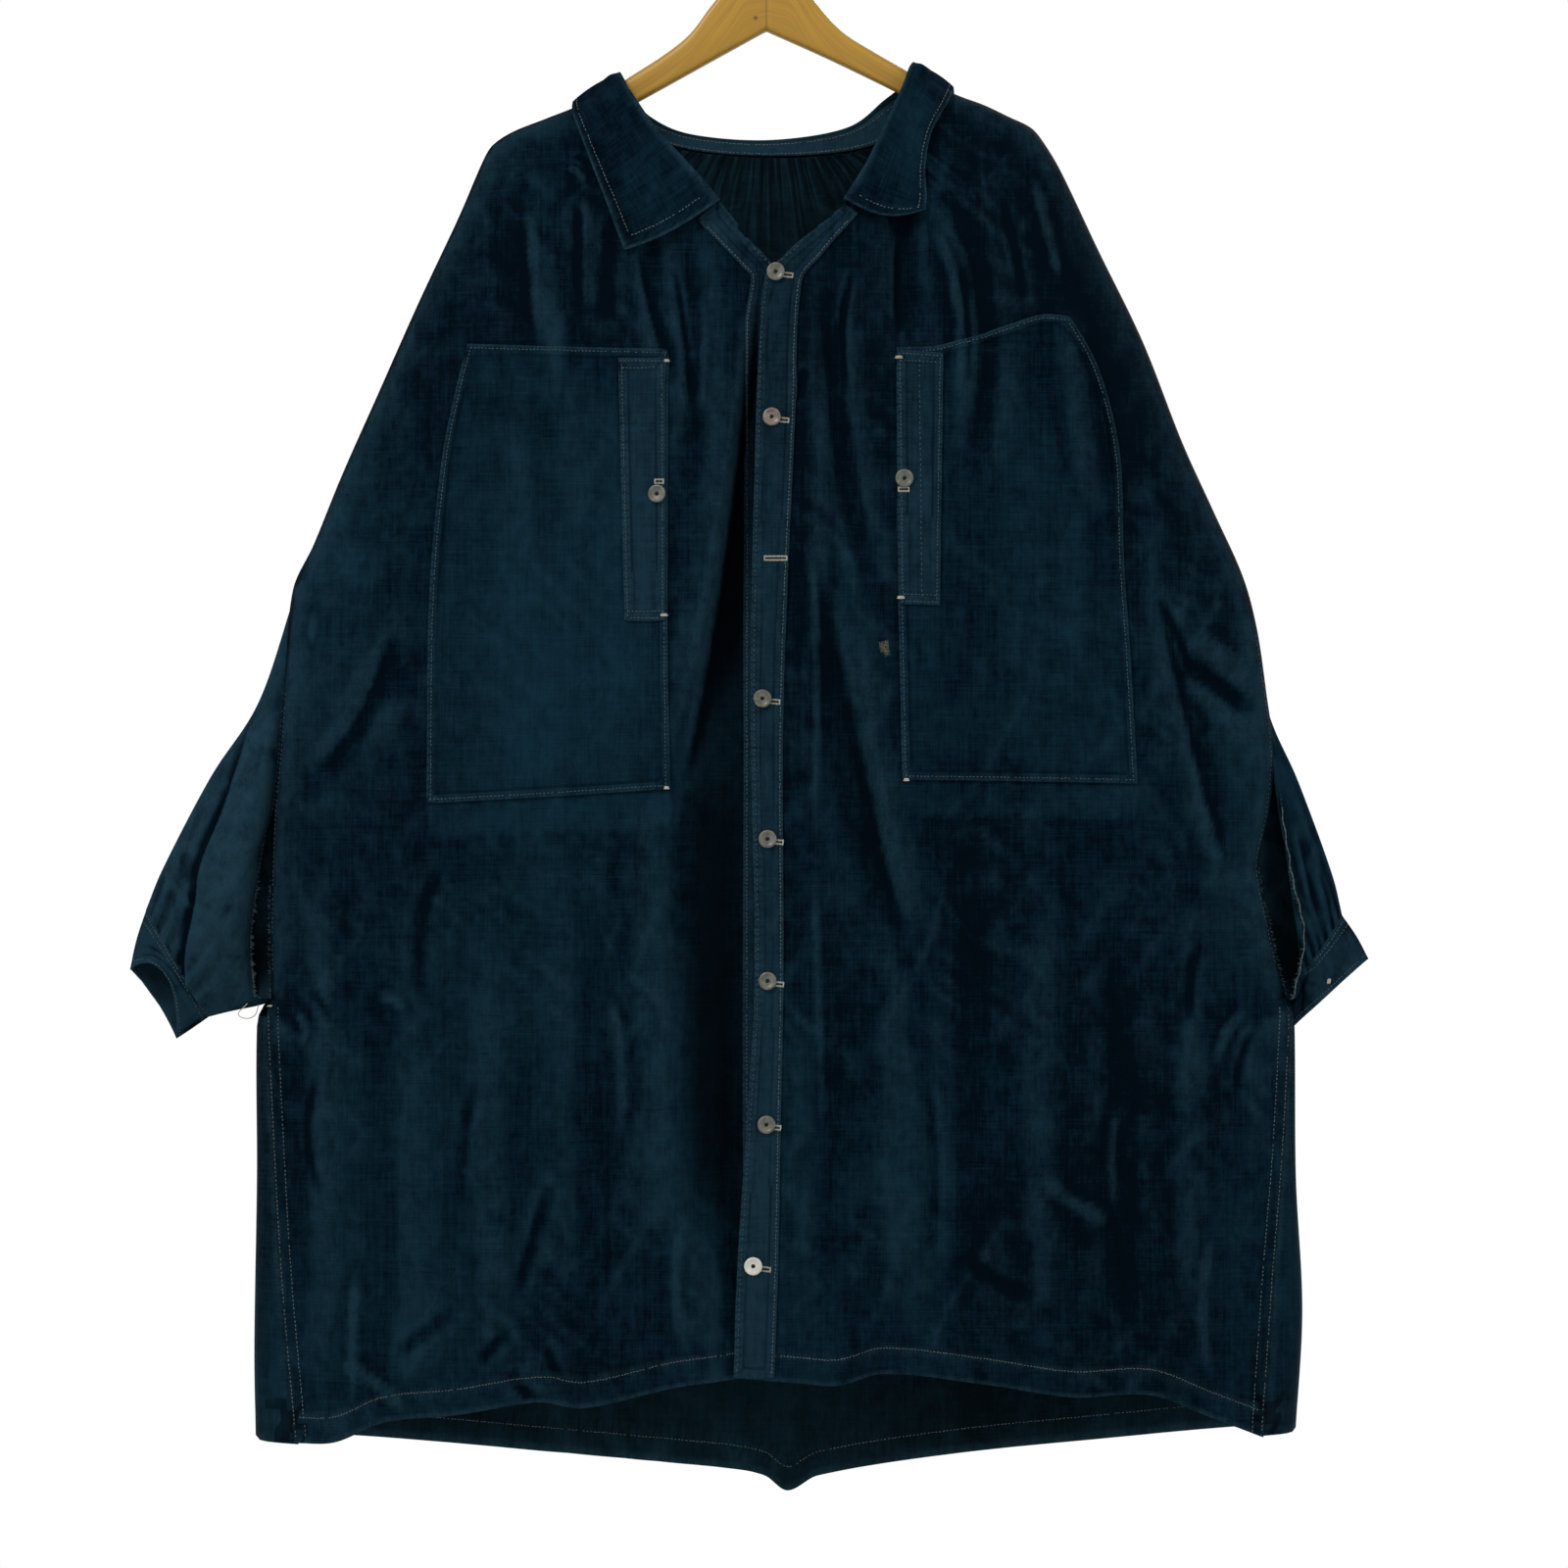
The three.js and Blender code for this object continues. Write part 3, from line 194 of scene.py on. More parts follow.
FINE_FOLDS = {
    "right": [
        (-99, -302, -92, -340, -76, -395, 3.5, 5, -4.5),
        (-73, -312, -64, -372, -57, -432, 4, 3, -3.5),
        (-52, -330, -50, -390, -54, -450, 4, 4, 2.2),
        (-148, -262, -146, -300, -149, -352, 5, 4, -3),
        (-186, -262, -180, -320, -176, -380, 4, 6, 2.4),
        (-150, -229, -143, -233, -136, -241, 2.5, 3, -1.6),
        (-155, -238, -146, -244, -139, -252, 3, 2.5, 1.5),
        (-286, -590, -306, -650, -338, -706, 5, 9, -2),
        (-292, -600, -318, -660, -352, -704, 9, 5, 1.8),
        (-350, -578, -351, -590, -352, -606, 2.5, 3, 1.6),
        (-352, -868, -343, -878, -334, -894, 4, 3, -2.2),
        (-372, -884, -354, -900, -358, -914, 3, 4, 1.8),
        (-300, -872, -286, -878, -276, -884, 3, 4, 1.6),
        (-224, -930, -232, -990, -236, -1040, 5, 4, -1.8),
        (-168, -1012, -180, -1060, -196, -1108, 4, 6, -2),
        (-120, -870, -112, -930, -114, -990, 6, 4, 2),
        (-330, -1150, -300, -1168, -272, -1192, 4, 5, 2.2),
        (-344, -930, -352, -985, -340, -1030, 4, 4, -1.8),
        (-66, -1040, -70, -1090, -64, -1150, 5, 5, 2.4),
        (-250, -770, -266, -830, -262, -880, 6, 5, -1.8),
        (-200, -1156, -186, -1174, -168, -1190, 5, 6, -3),
        (-316, -1080, -317, -1140, -316, -1194, 4, 5, 2.6),
        (-284, -1148, -262, -1130, -236, -1112, 5, 6, -1.8),
        (-222, -1156, -209, -1140, -194, -1124, 5, 5, -1.6),
        (-168, -1136, -165, -1152, -158, -1170, 4, 4, -1.8),
    ],
    "left": [
        (27, -392, 24, -408, 20, -422, 3, 4, -2.6),
        (31, -520, 36, -620, 33, -760, 2.5, 3, 1.6),
        (33, -760, 38, -880, 42, -1010, 3, 3, 1.4),
        (64, -318, 57, -352, 62, -420, 4, 3, -4),
        (100, -290, 98, -330, 101, -372, 3, 5, -4),
        (126, -282, 139, -320, 148, -368, 5, 3, 2.8),
        (139, -292, 150, -345, 150, -420, 3, 5, -3.2),
        (176, -262, 190, -310, 196, -350, 4, 4, -2.2),
        (200, -238, 214, -290, 226, -336, 4, 5, 1.8),
        (319, -618, 342, -634, 370, -654, 6, 6, -2),
        (322, -596, 350, -614, 376, -630, 7, 6, 2.2),
        (296, -566, 316, -606, 330, -640, 3, 4, -2.8),
        (330, -830, 322, -858, 324, -900, 5, 4, -2),
        (366, -884, 350, -900, 342, -930, 4, 4, 2),
        (372, -896, 360, -926, 358, -960, 3, 4, -1.8),
        (204, -1006, 236, -1034, 268, -1046, 6, 6, 2),
        (146, -1066, 176, -1092, 210, -1102, 6, 6, -1.8),
        (270, -940, 262, -1000, 268, -1060, 5, 5, 2),
        (118, -930, 126, -1000, 120, -1080, 5, 4, -1.8),
        (338, -1050, 330, -1110, 336, -1170, 5, 5, 2.2),
    ],
}
BACK_FOLDS = [
    (4, -560, 10, -900, 14, -1300, 16, 16, 9),
    (-34, -260, -38, -600, -40, -1240, 16, 18, -6),
    (46, -260, 44, -640, 52, -1240, 16, 18, -6),
    (-92, -280, -110, -640, -112, -1230, 18, 20, 6),
    (100, -280, 120, -640, 128, -1230, 18, 20, 6),
    (-150, -320, -190, -700, -196, -1220, 20, 22, -6),
    (158, -320, 196, -700, 206, -1220, 20, 22, -6),
    (-200, -380, -262, -700, -272, -1210, 20, 22, 6),
    (214, -380, 268, -700, 284, -1210, 20, 22, 6),
    (-336, -640, -338, -900, -340, -1200, 18, 20, -5),
    (346, -640, 346, -900, 350, -1200, 18, 20, -5),
]
BACK_FINE_FOLDS = [
    (-30, -230, -34, -330, -28, -430, 4, 5, -2.6),
    (-14, -236, -12, -350, -18, -470, 4, 4, 2.4),
    (24, -236, 28, -330, 22, -450, 4, 5, -2.6),
    (58, -240, 66, -330, 72, -420, 5, 4, -2.4),
    (-66, -240, -74, -330, -84, -430, 5, 4, -2.2),
    (-110, -250, -130, -340, -146, -430, 5, 6, 2.4),
    (112, -250, 132, -340, 150, -430, 5, 6, 2.2),
    (-250, -560, -290, -620, -340, -660, 8, 8, -2.6),
    (256, -560, 300, -628, 350, -672, 8, 8, -2.8),
    (-180, -520, -210, -600, -216, -700, 7, 6, -2.2),
    (176, -540, 204, -630, 216, -720, 7, 6, -2.2),
    (-70, -700, -84, -800, -80, -900, 6, 7, -2.4),
    (84, -760, 74, -860, 82, -960, 6, 7, 2.4),
    (-290, -880, -250, -930, -220, -990, 7, 7, -2),
    (300, -900, 262, -946, 240, -1010, 7, 7, -2),
    (-150, -1000, -170, -1070, -168, -1150, 6, 6, -2.4),
    (160, -1020, 182, -1080, 180, -1160, 6, 6, -2.4),
    (-330, -1040, -318, -1100, -326, -1170, 6, 6, 2.2),
    (340, -1030, 328, -1100, 334, -1160, 6, 6, 2.2),
    (30, -1060, 34, -1120, 26, -1190, 5, 5, -2.4),
]
SLEEVE = {
    "right": table("at tx tz bx bz front back", [
        (0, -370, -562, -398, -880, 6, 6), (0.3, -397, -648, -406, -884, 17, 15),
        (0.6, -434, -708, -416, -887, 20, 18), (0.85, -470, -778, -427, -890, 18, 17),
        (1, -483, -810, -434, -892, 14, 14)]),
    "left": table("at tx tz bx bz front back", [
        (0, 368, -552, 405, -880, 6, 6), (0.3, 387, -652, 407, -880, 8, 17),
        (0.6, 411, -712, 409, -878, 10, 21), (0.85, 436, -782, 410, -874, 10, 20),
        (1, 444, -815, 410, -868, 10, 17)]),
}
SLEEVE_FOLDS = {
    "right": [
        (-438, -716, -449, -760, -462, -806, 3, 5, -4),
        (-450, -754, -459, -784, -470, -814, 3, 4, -3.5),
        (-428, -740, -436, -776, -446, -806, 4, 4, 2.5),
        (-392, -700, -404, -780, -420, -850, 10, 12, 3),
        (-410, -790, -420, -826, -424, -860, 4, 4, -2.5),
    ],
    "left": [
        (392, -700, 405, -770, 417, -826, 4, 5, -5),
        (404, -740, 412, -780, 422, -822, 3, 3, 3),
        (408, -744, 418, -788, 428, -826, 3, 4, -4.5),
        (424, -760, 432, -790, 440, -820, 3, 4, -4),
        (418, -756, 426, -790, 434, -820, 3, 3, 3),
    ],
}
# The front layer of the right sleeve ends in a fold that lies over the back layer.
SLEEVE_RIDGE = table("x z", [
    (-396, -640), (-401, -663), (-418, -724), (-437, -776), (-441, -803), (-449, -846), (-452, -900)])
RIDGE_HEIGHT = 6
CUFF = {
    "right": table("at tx tz bx bz front back pull", [
        (0, -482, -808.5, -433, -890.5, 15.5, 15.5, 0), (0.5, -490, -833, -448, -901, 15, 14, 12),
        (1, -495, -856, -460, -909, 16, 13, 26)]),
    "left": table("at tx tz bx bz front back pull", [
        (0, 443.5, -814.2, 407, -866, 12, 18.5, 0), (0.5, 455, -831, 404, -887, 11, 17, 2),
        (1, 464, -848, 402, -907, 11, 16, 3)]),
}

# The four sides of each pocket patch, and of the welt along its opening.
POCKET = {
    "right": {
        "top": [(-231, -375), (-160, -378), (-77, -380)],
        "bottom": [(-261, -727), (-170, -722), (-76, -716)],
        "start": [(-231, -375), (-241, -416), (-250, -463), (-259, -563), (-261, -727)],
        "end": [(-77, -380), (-77, -550), (-76, -716)],
    },
    "left": {
        "top": [(97, -379), (130, -377), (183, -361), (208, -353), (230, -354)],
        "bottom": [(101, -709), (190, -710), (281, -712)],
        "start": [(97, -379), (98, -540), (101, -709)],
        "end": [(230, -354), (249, -387), (261, -422), (269, -466), (271, -540), (276, -619), (281, -712)],
    },
}
WELT = {
    "right": {"top": [(-115, -387), (-79.5, -387)], "bottom": [(-110, -588), (-78.5, -588)],
              "start": [(-115, -387), (-110, -588)], "end": [(-79.5, -387), (-78.5, -588)]},
    "left": {"top": [(97.5, -381), (133, -383)], "bottom": [(99.5, -575), (130, -576)],
             "start": [(97.5, -381), (99.5, -575)], "end": [(133, -383), (130, -576)]},
}
# Button bands: the front's own edge and the band's stitched edge, in pairs.
BAND = {
    "right": table("ix iz ox oz", [
        (-39.5, -265, -55, -281), (-23, -285, -37, -300), (-6, -304, -20, -317), (8, -320, -14, -324),
        (8, -360, -19, -360), (8, -540, -19, -540), (8, -860, -19, -860), (4, -1080, -19, -1080),
        (0, -1160, -19, -1160)]),
    "left": table("ix iz ox oz", [
        (57, -268.5, 68, -276), (20, -300, 40, -308), (-3, -324, 25, -328), (-10, -432, 20, -432),
        (-14, -647, 11, -647), (-11, -862, 11, -862), (-17, -971, 9, -971), (-24, -1078, 7, -1078),
        (-27, -1162, 4, -1164)]),
}
TORN_HOLE = table("x z", [(83, -603), (92, -603.5), (91, -609), (92.5, -613.5), (87, -614), (84.5, -611),
                          (83, -603)])
# Collar: how far out the neck seam is, the fold line at the top and the outer edge, round the neck.
COLLAR_PARTS = ("front front front front front top back back back back back back back top front front front"
                " front front").split()
COLLAR = table("nx rx ry rz ex ey ez", [
    (-40, -37.5, -41, -266, -110, -37, -304), (-60, -62, -38, -238, -122, -33, -272),
    (-82, -84, -33, -214, -132, -27, -246), (-104, -102, -22, -188, -143, -20, -217),
    (-119, -113, -11, -171, -151, -10, -195), (-128, -117, 0, -166, -151, 0, -185),
    (-118, -110, 13, -175, -151, 16, -199), (-96, -92, 24, -192, -128, 36, -236),
    (-60, -60, 32, -203, -76, 44, -256), (0, 0, 34, -207, 0, 47, -264),
    (60, 60, 32, -198, 76, 44, -254), (96, 90, 24, -178, 122, 36, -230),
    (115, 106, 13, -167, 141, 16, -188), (125, 113, 0, -158, 142, 0, -174),
    (117, 108, -11, -165, 139, -10, -184), (104, 99, -22, -186, 124, -21, -212),
    (88, 86, -31, -214, 119, -28, -240), (72, 73, -38, -240, 120, -33, -262),
    (59, 57, -41, -266, 119, -37, -273)])
BUTTONS = [
    ("front_button_1", 5, -321, "button_horn"), ("front_button_2", 2, -432, "button_horn"),
    ("front_button_3", -5, -647, "button_horn"), ("front_button_4", -1, -754, "button_horn"),
    ("front_button_5", -1, -862, "button_horn"), ("front_button_6", -2, -971, "button_horn"),
    ("front_button_7", -12, -1078, "button_pearl"),
]
POCKET_BUTTONS = [("pocket_button_right", "right", -85, -491), ("pocket_button_left", "left", 103, -479)]
MISSING_BUTTON = (4, -540)
HANGER_TOP = {
    "right": table("x z", [(-2.03, -70), (-19, -75), (-30, -90), (-46, -110), (-62, -131), (-82, -147),
                           (-113, -167)]),
    "left": table("x z", [
        (-1.97, -70), (16, -75), (26, -90), (36, -106), (57, -129), (82, -145), (108, -160)]),
}


# Reading tables
def ease(t):
    s = np.clip(t, 0, 1)
    return s * s * (3 - 2 * s)


def read(rows, key, name, at):
    """One column at places between its rows, smoothly."""
    keys, values = rows[key], rows[name]
    if keys[-1] < keys[0]:
        keys, values = keys[::-1], values[::-1]
    last = len(keys) - 1
    at = np.asarray(at, float)
    i = np.clip(np.searchsorted(keys, at, side="right") - 1, 0, last - 1)
    k = np.arange(last + 1)
    after, before = np.minimum(k + 1, last), np.maximum(k - 1, 0)
    slopes = (values[after] - values[before]) / (keys[after] - keys[before])
    span = keys[i + 1] - keys[i]
    t = np.clip((at - keys[i]) / span, 0, 1)
    return (values[i] * (2 * t**3 - 3 * t**2 + 1) + slopes[i] * span * (t**3 - 2 * t**2 + t)
            + values[i + 1] * (3 * t**2 - 2 * t**3) + slopes[i + 1] * span * (t**3 - t**2))


class Route:
    """An outline that gives its point at a share of its length."""

    def __init__(self, rows):
        if not isinstance(rows, dict):
            rows = table("x z", rows)
        steps = np.hypot(np.diff(rows["x"]), np.diff(rows["z"]))
        self.rows = {**rows, "along": np.concatenate([[0], np.cumsum(steps)])}
        self.length = self.rows["along"][-1]

    def at(self, share):
        along = np.asarray(share) * self.length
        return read(self.rows, "along", "x", along), read(self.rows, "along", "z", along)


def nearest(rows, x, z):
    """Distance to an outline, and how far along it the nearest point is."""
    best = np.full(np.shape(x), 1e9)
    along = np.zeros(np.shape(x))
    passed = 0.0
    for i in range(1, len(rows["x"])):
        ax, az = rows["x"][i - 1], rows["z"][i - 1]
        dx, dz = rows["x"][i] - ax, rows["z"][i] - az
        length = math.hypot(dx, dz)
        t = np.clip(((x - ax) * dx + (z - az) * dz) / length**2, 0, 1)
        away = np.hypot(x - ax - t * dx, z - az - t * dz)
        closer = away < best
        best = np.where(closer, away, best)
        along = np.where(closer, passed + t * length, along)
        passed += length
    return best, along


def relief(folds, x, z):
    """Sum of the folds of one table at points of the cloth."""
    total = np.zeros(np.shape(x))
    for x0, z0, xm, zm, x1, z1, low, high, out in folds:
        cx, cz = x1 - x0, z1 - z0
        length = math.hypot(cx, cz)
        s = ((x - x0) * cx + (z - z0) * cz) / length**2
        bow = 4 * s * (1 - s)
        px = x0 + cx * s + bow * (xm - (x0 + x1) / 2)
        pz = z0 + cz * s + bow * (zm - (z0 + z1) / 2)
        away = ((x - px) * -cz + (z - pz) * cx) / length
        width = np.where(away < 0, low, high)
        shape = np.exp(-((away / width) ** 2)) * ease(s / 0.3) * ease((1 - s) / 0.35)
        total += np.where((s > 0) & (s < 1), out * shape, 0)
    return total


LATTICE = 97
LATTICE_START = (40.37, 60.71)


def noise(x, z, size, seed, stretch=1.0):
    """Smooth random values from -1 to 1, with bumps about one size across and stretch times as tall."""
    lattice = np.random.default_rng(seed).uniform(-1, 1, (LATTICE, LATTICE))
    px, pz = np.asarray(x) / size + LATTICE_START[0], np.asarray(z) / (size * stretch) + LATTICE_START[1]
    ix, iz = np.floor(px).astype(int), np.floor(pz).astype(int)
    fx, fz = ease(px - ix), ease(pz - iz)
    take = lambda a, b: lattice[(iz + b) % LATTICE, (ix + a) % LATTICE]
    return ((take(0, 0) * (1 - fx) + take(1, 0) * fx) * (1 - fz)
            + (take(0, 1) * (1 - fx) + take(1, 1) * fx) * fz)


def crumple(x, z, seed):
    """Soft creases that cross each other, as in linen that has been packed flat."""
    bend_x, bend_z = 14 * noise(x, z, 60, seed), 14 * noise(x, z, 60, seed + 1)
    ridge = lambda size, turn, k: 1 - np.abs(noise(
        (x + bend_x) * math.cos(turn) + (z + bend_z) * math.sin(turn),
        -(x + bend_x) * math.sin(turn) + (z + bend_z) * math.cos(turn), size, seed + k, 2.4)) * 2
    value = 0.9 * ridge(44, 0.15, 2) + 0.6 * ridge(26, -0.5, 3) + 0.45 * ridge(15, 0.9, 4)
    patch = ease(0.5 + 0.9 * noise(x, z, 110, seed + 5))
    return value * (0.3 + 0.9 * patch)


# The surfaces of the panels
BODY_OUTLINE = {side: joined(SHOULDER[side], ARMHOLE[side], SIDE_FOLD[side]) for side in SIDES}
FRONT_OUTLINE = {side: joined(SHOULDER[side], ARMHOLE[side], SIDE_SEAM[side]) for side in SIDES}


def roundness(inside):
    return (EDGE_SHARE * (1 - np.exp(-inside / EDGE_REACH))
            + (1 - EDGE_SHARE) * (1 - np.exp(-inside / BELLY_REACH)))


def edge_depth(side, z):
    top, foot = SHOULDER[side]["z"][-1], ARMHOLE[side]["z"][-1]
    return EDGE_DEPTH + (ARMHOLE_DEPTH - EDGE_DEPTH) * ease((top - z) / 90) * ease((z - foot) / 70)


def front_depth(side, x, z):
    inside, _ = nearest(BODY_OUTLINE[side], x, z)
    body = read(DEPTH, "at", "front", z) * roundness(inside)
    edge = edge_depth(side, z) * np.exp(-inside / BELLY_REACH)
    folds = relief(FOLDS[side], x, z) * ease(inside / 12)
    under = OVERLAP_DEPTH * ease((x + 45) / 30) if side == "right" else 0
    depth = edge + np.maximum(body - under + folds, np.minimum(body, LEAST_DEPTH))
    fine = relief(FINE_FOLDS[side], x, z) + 0.5 * crumple(x, z, CRUMPLE_SEED[side])
    return depth + fine * ease(inside / 30)


def back_depth(x, z):
    on_right = x < 5
    inside = np.where(on_right, *(nearest(BODY_OUTLINE[side], x, z)[0] for side in SIDES))
    body = read(DEPTH, "at", "back", z) * roundness(inside)
    edge = np.where(on_right, *(edge_depth(side, z) for side in SIDES)) * np.exp(-inside / BELLY_REACH)
    folds = relief(BACK_FOLDS, x, z) * ease(inside / 12)
    depth = edge + np.maximum(body + folds, np.minimum(body, LEAST_DEPTH))
    fine = relief(BACK_FINE_FOLDS, x, z) + 0.6 * crumple(x, z, CRUMPLE_SEED["back"])
    return depth + fine * ease(inside / 30)


def gather(count, depth, share, down, seed):
    """Gathers fade down the cloth. Each has its own place, strength and length."""
    reach = 18 + 62 * (0.5 + 0.5 * noise(share * 100, seed, 3.6, 71)) ** 2
    strength = 0.5 + 0.9 * (0.5 + 0.5 * noise(share * 100, seed, 2.8, 72))
    uneven = share + 0.013 * np.sin(share * 31 + seed) + 0.007 * np.sin(share * 83 + 2 * seed)
    uneven = uneven + 0.0035 * np.sin(down / 19 + 26 * share + seed) * ease(down / 30)
    pleat = 2 * np.abs(np.cos(np.pi * count * uneven)) ** 0.8 - 1
    return strength * (depth * pleat * np.exp(-down / reach)
                       + 0.35 * depth * np.cos(np.pi * count * uneven + seed) * np.exp(-down / (1.9 * reach)))


def front_points(side, u, v):
    """Points of one front by the share across from the centre edge and the share down from the neck."""
    inner, outer = Route(CENTRE_EDGE[side]), Route(FRONT_OUTLINE[side])
    shoulder = ends(SHOULDER[side], 0)
    neck = Route(joined(V_EDGE[side], {n: np.array([shoulder[n]]) for n in shoulder}))
    open_share = Route(V_EDGE[side]).length / neck.length
    (ax, az), (bx, bz), (tx, tz) = inner.at(v), outer.at(v), neck.at(u)
    (fx, fz), (gx, gz) = inner.at(0), outer.at(0)
    (hx, hz), (kx, kz) = inner.at(1), outer.at(1)
    rise = (1 - v) ** 12
    x = ax + (bx - ax) * u + (tx - (fx + (gx - fx) * u)) * rise
    hem = read(FRONT_HEM[side], "x", "z", hx + (kx - hx) * u)
    z = az + (bz - az) * u + (tz - (fz + (gz - fz) * u)) * rise + (hem - (hz + (kz - hz) * u)) * v**10
    share = (u - open_share) / (1 - open_share)
    fullness = ease((share - 0.12) / 0.1) * ease((0.72 - share) / 0.3)
    depth = front_depth(side, x, z) + fullness * gather(FRONT_GATHERS, 2.1, share, v * outer.length, 1.7)
    sewn = (u > 1 - 1e-9) & (z > SIDE_SEAM[side]["z"][0])
    depth = np.where(sewn, edge_depth(side, z), depth)
    return np.stack([x, -depth, z], -1)


def back_points(u, v):
    """Points of the back. Past its side folds it runs on round to the side seams on the front."""
    share = np.minimum(1, np.abs(u))
    past = np.maximum(0, np.abs(u) - 1) * 100
    ax, az = Route(BACK_CENTRE).at(v)
    halves = []
    for side in SIDES:
        end = 0 if side == "right" else -1
        bx, bz = Route(BODY_OUTLINE[side]).at(v)
        x = ax + (bx - ax) * share
        neck_at, neck_end = BACK_NECK["x"][end] * share, BACK_NECK["z"][end]
        neck = read(BACK_NECK, "x", "z", neck_at) - (BACK_CENTRE["z"][0] * (1 - share) + neck_end * share)
        hem_at = BACK_CENTRE["x"][-1] * (1 - share) + BACK_HEM["x"][end] * share
        hem_end = BACK_CENTRE["z"][-1] * (1 - share) + BACK_HEM["z"][end] * share
        hem = read(BACK_HEM, "x", "z", hem_at) - hem_end
        z = az + (bz - az) * share + neck * np.exp(-v * 22) + hem * v**10
        gathers = ease((1 - share) / 0.08) * gather(BACK_GATHERS_HALF, 2.3, share, v * 1000, OUTWARD[side])
        y = np.where(share > 1 - 1e-9, edge_depth(side, z), back_depth(x, z) + gathers)
        wrap_x = x - OUTWARD[side] * past
        wrap_y = -front_depth(side, wrap_x, z) + WRAP_DROP * ease(past / 6)
        wrapped, flat = np.stack([wrap_x, wrap_y, z], -1), np.stack([x, y, z], -1)
        halves.append(np.where((past > 0)[..., None], wrapped, flat))
    return np.where((u < 0)[..., None], halves[0], halves[1])


# Meshes
def grid_normals(points, closed=False):
    if closed:
        across = np.roll(points, -1, 1) - np.roll(points, 1, 1)
    else:
        across = np.gradient(points, axis=1)
    down = np.gradient(points, axis=0)
    normals = np.cross(across, down)
    size = np.linalg.norm(normals, axis=-1, keepdims=True)
    return normals / np.maximum(size, 1e-9)


def make_mesh(name, vertices, faces, material, fields=None, uv=None):
    mesh = bpy.data.meshes.new(name)
    vertices = np.asarray(vertices, np.float64) * MM
    mesh.from_pydata(vertices.tolist(), [], [list(map(int, f)) for f in faces])
    for key, values in (fields or {}).items():
        attribute = mesh.attributes.new(key, "FLOAT", "POINT")
        attribute.data.foreach_set("value", np.ascontiguousarray(values, np.float32))
    if uv is not None:
        layer = mesh.uv_layers.new(name="cloth")
        corners = np.zeros(len(mesh.loops), np.int32)
        mesh.loops.foreach_get("vertex_index", corners)
        layer.uv.foreach_set("vector", (np.asarray(uv, np.float32)[corners] * MM).ravel())
    mesh.polygons.foreach_set("use_smooth", np.full(len(mesh.polygons), True))
    mesh.materials.append(material)
    mesh.update()
    obj = bpy.data.objects.new(name, mesh)
    bpy.context.scene.collection.objects.link(obj)
    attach(obj, "root")
    return obj


def shell(name, points, material, thickness=CLOTH, turn=1, mask=None, closed=False, fields=None,
          uv=None, inside_shade=None):
    """A thin closed wall on a grid of points. Turn says which way it faces, and the last argument paints
    shade on its inside face.
    """
    rows, cols = points.shape[:2]
    normals = grid_normals(points, closed) * turn
    outer = points + normals * (thickness / 2)
    inner = points - normals * (thickness / 2)
    index = np.arange(rows * cols).reshape(rows, cols)
    right = np.roll(index, -1, 1) if closed else index[:, 1:]
    left = index if closed else index[:, :-1]
    quads = np.stack([left[:-1], right[:-1], right[1:], left[1:]], -1)
    if mask is not None:
        quads = quads[mask]
    quads = quads.reshape(-1, 4)
    if turn < 0:
        quads = quads[:, ::-1]
    edges = np.concatenate([quads[:, [k, (k + 1) % 4]] for k in range(4)])
    _, first, count = np.unique(np.sort(edges, 1), axis=0, return_index=True, return_counts=True)
    rim = edges[first[count == 1]]
    offset = rows * cols
    faces = np.concatenate([quads, quads[:, ::-1] + offset,
                            np.stack([rim[:, 1], rim[:, 0], rim[:, 0] + offset, rim[:, 1] + offset], -1)])
    used = np.unique(faces)
    renumber = np.zeros(2 * offset, int)
    renumber[used] = np.arange(len(used))
    vertices = np.concatenate([outer.reshape(-1, 3), inner.reshape(-1, 3)])[used]
    spread = lambda grid: np.concatenate([grid.reshape(offset, -1), grid.reshape(offset, -1)])[used]
    values = {key: spread(np.broadcast_to(grid, (rows, cols)))[:, 0] for key, grid in (fields or {}).items()}
    values["inside"] = np.concatenate([np.zeros(offset), np.ones(offset)])[used]
    # Painted shade on the inside face only
    if inside_shade is not None:
        values["painted_hollow_shade"] = values["inside"] * spread(inside_shade)[:, 0]
    return make_mesh(name, vertices, renumber[faces], material, values,
                     spread(uv) if uv is not None else None)


class Ground:
    """A surface that other pieces are laid on, found by looking at it along Y."""

    def __init__(self, points, mask=None, towards=-1):
        rows, cols = points.shape[:2]
        index = np.arange(rows * cols).reshape(rows, cols)
        quads = np.stack([index[:-1, :-1], index[:-1, 1:], index[1:, 1:], index[1:, :-1]], -1)
        quads = quads[mask] if mask is not None else quads.reshape(-1, 4)
        self.tree = BVHTree.FromPolygons(points.reshape(-1, 3).tolist(), quads.tolist())
        self.towards = towards

    def seat(self, x, z):
        start = Vector((float(x), self.towards * 400.0, float(z)))
        point, normal, _, _ = self.tree.ray_cast(start, Vector((0.0, -self.towards, 0.0)))
        if point is None:
            point, normal, _, _ = self.tree.find_nearest(Vector((float(x), self.towards * 45.0, float(z))))
        if normal.y * self.towards < 0:
            normal = -normal
        return np.array(point), np.array(normal)

    def lay(self, x, z):
        flat = [self.seat(a, b) for a, b in zip(np.ravel(x), np.ravel(z))]
        shape = np.shape(x) + (3,)
        return np.array([p for p, _ in flat]).reshape(shape), np.array([n for _, n in flat]).reshape(shape)


# Materials
def nodes_of(name):
    material = bpy.data.materials.new(name)
    material.use_nodes = True
    tree = material.node_tree
    return material, tree, tree.nodes["Principled BSDF"]


def link(tree, a, b):
    tree.links.new(a, b)


def add_node(tree, kind, **values):
    node = tree.nodes.new(kind)
    for key, value in values.items():
        if key in node.inputs:
            node.inputs[key].default_value = value
        else:
            setattr(node, key, value)
    return node


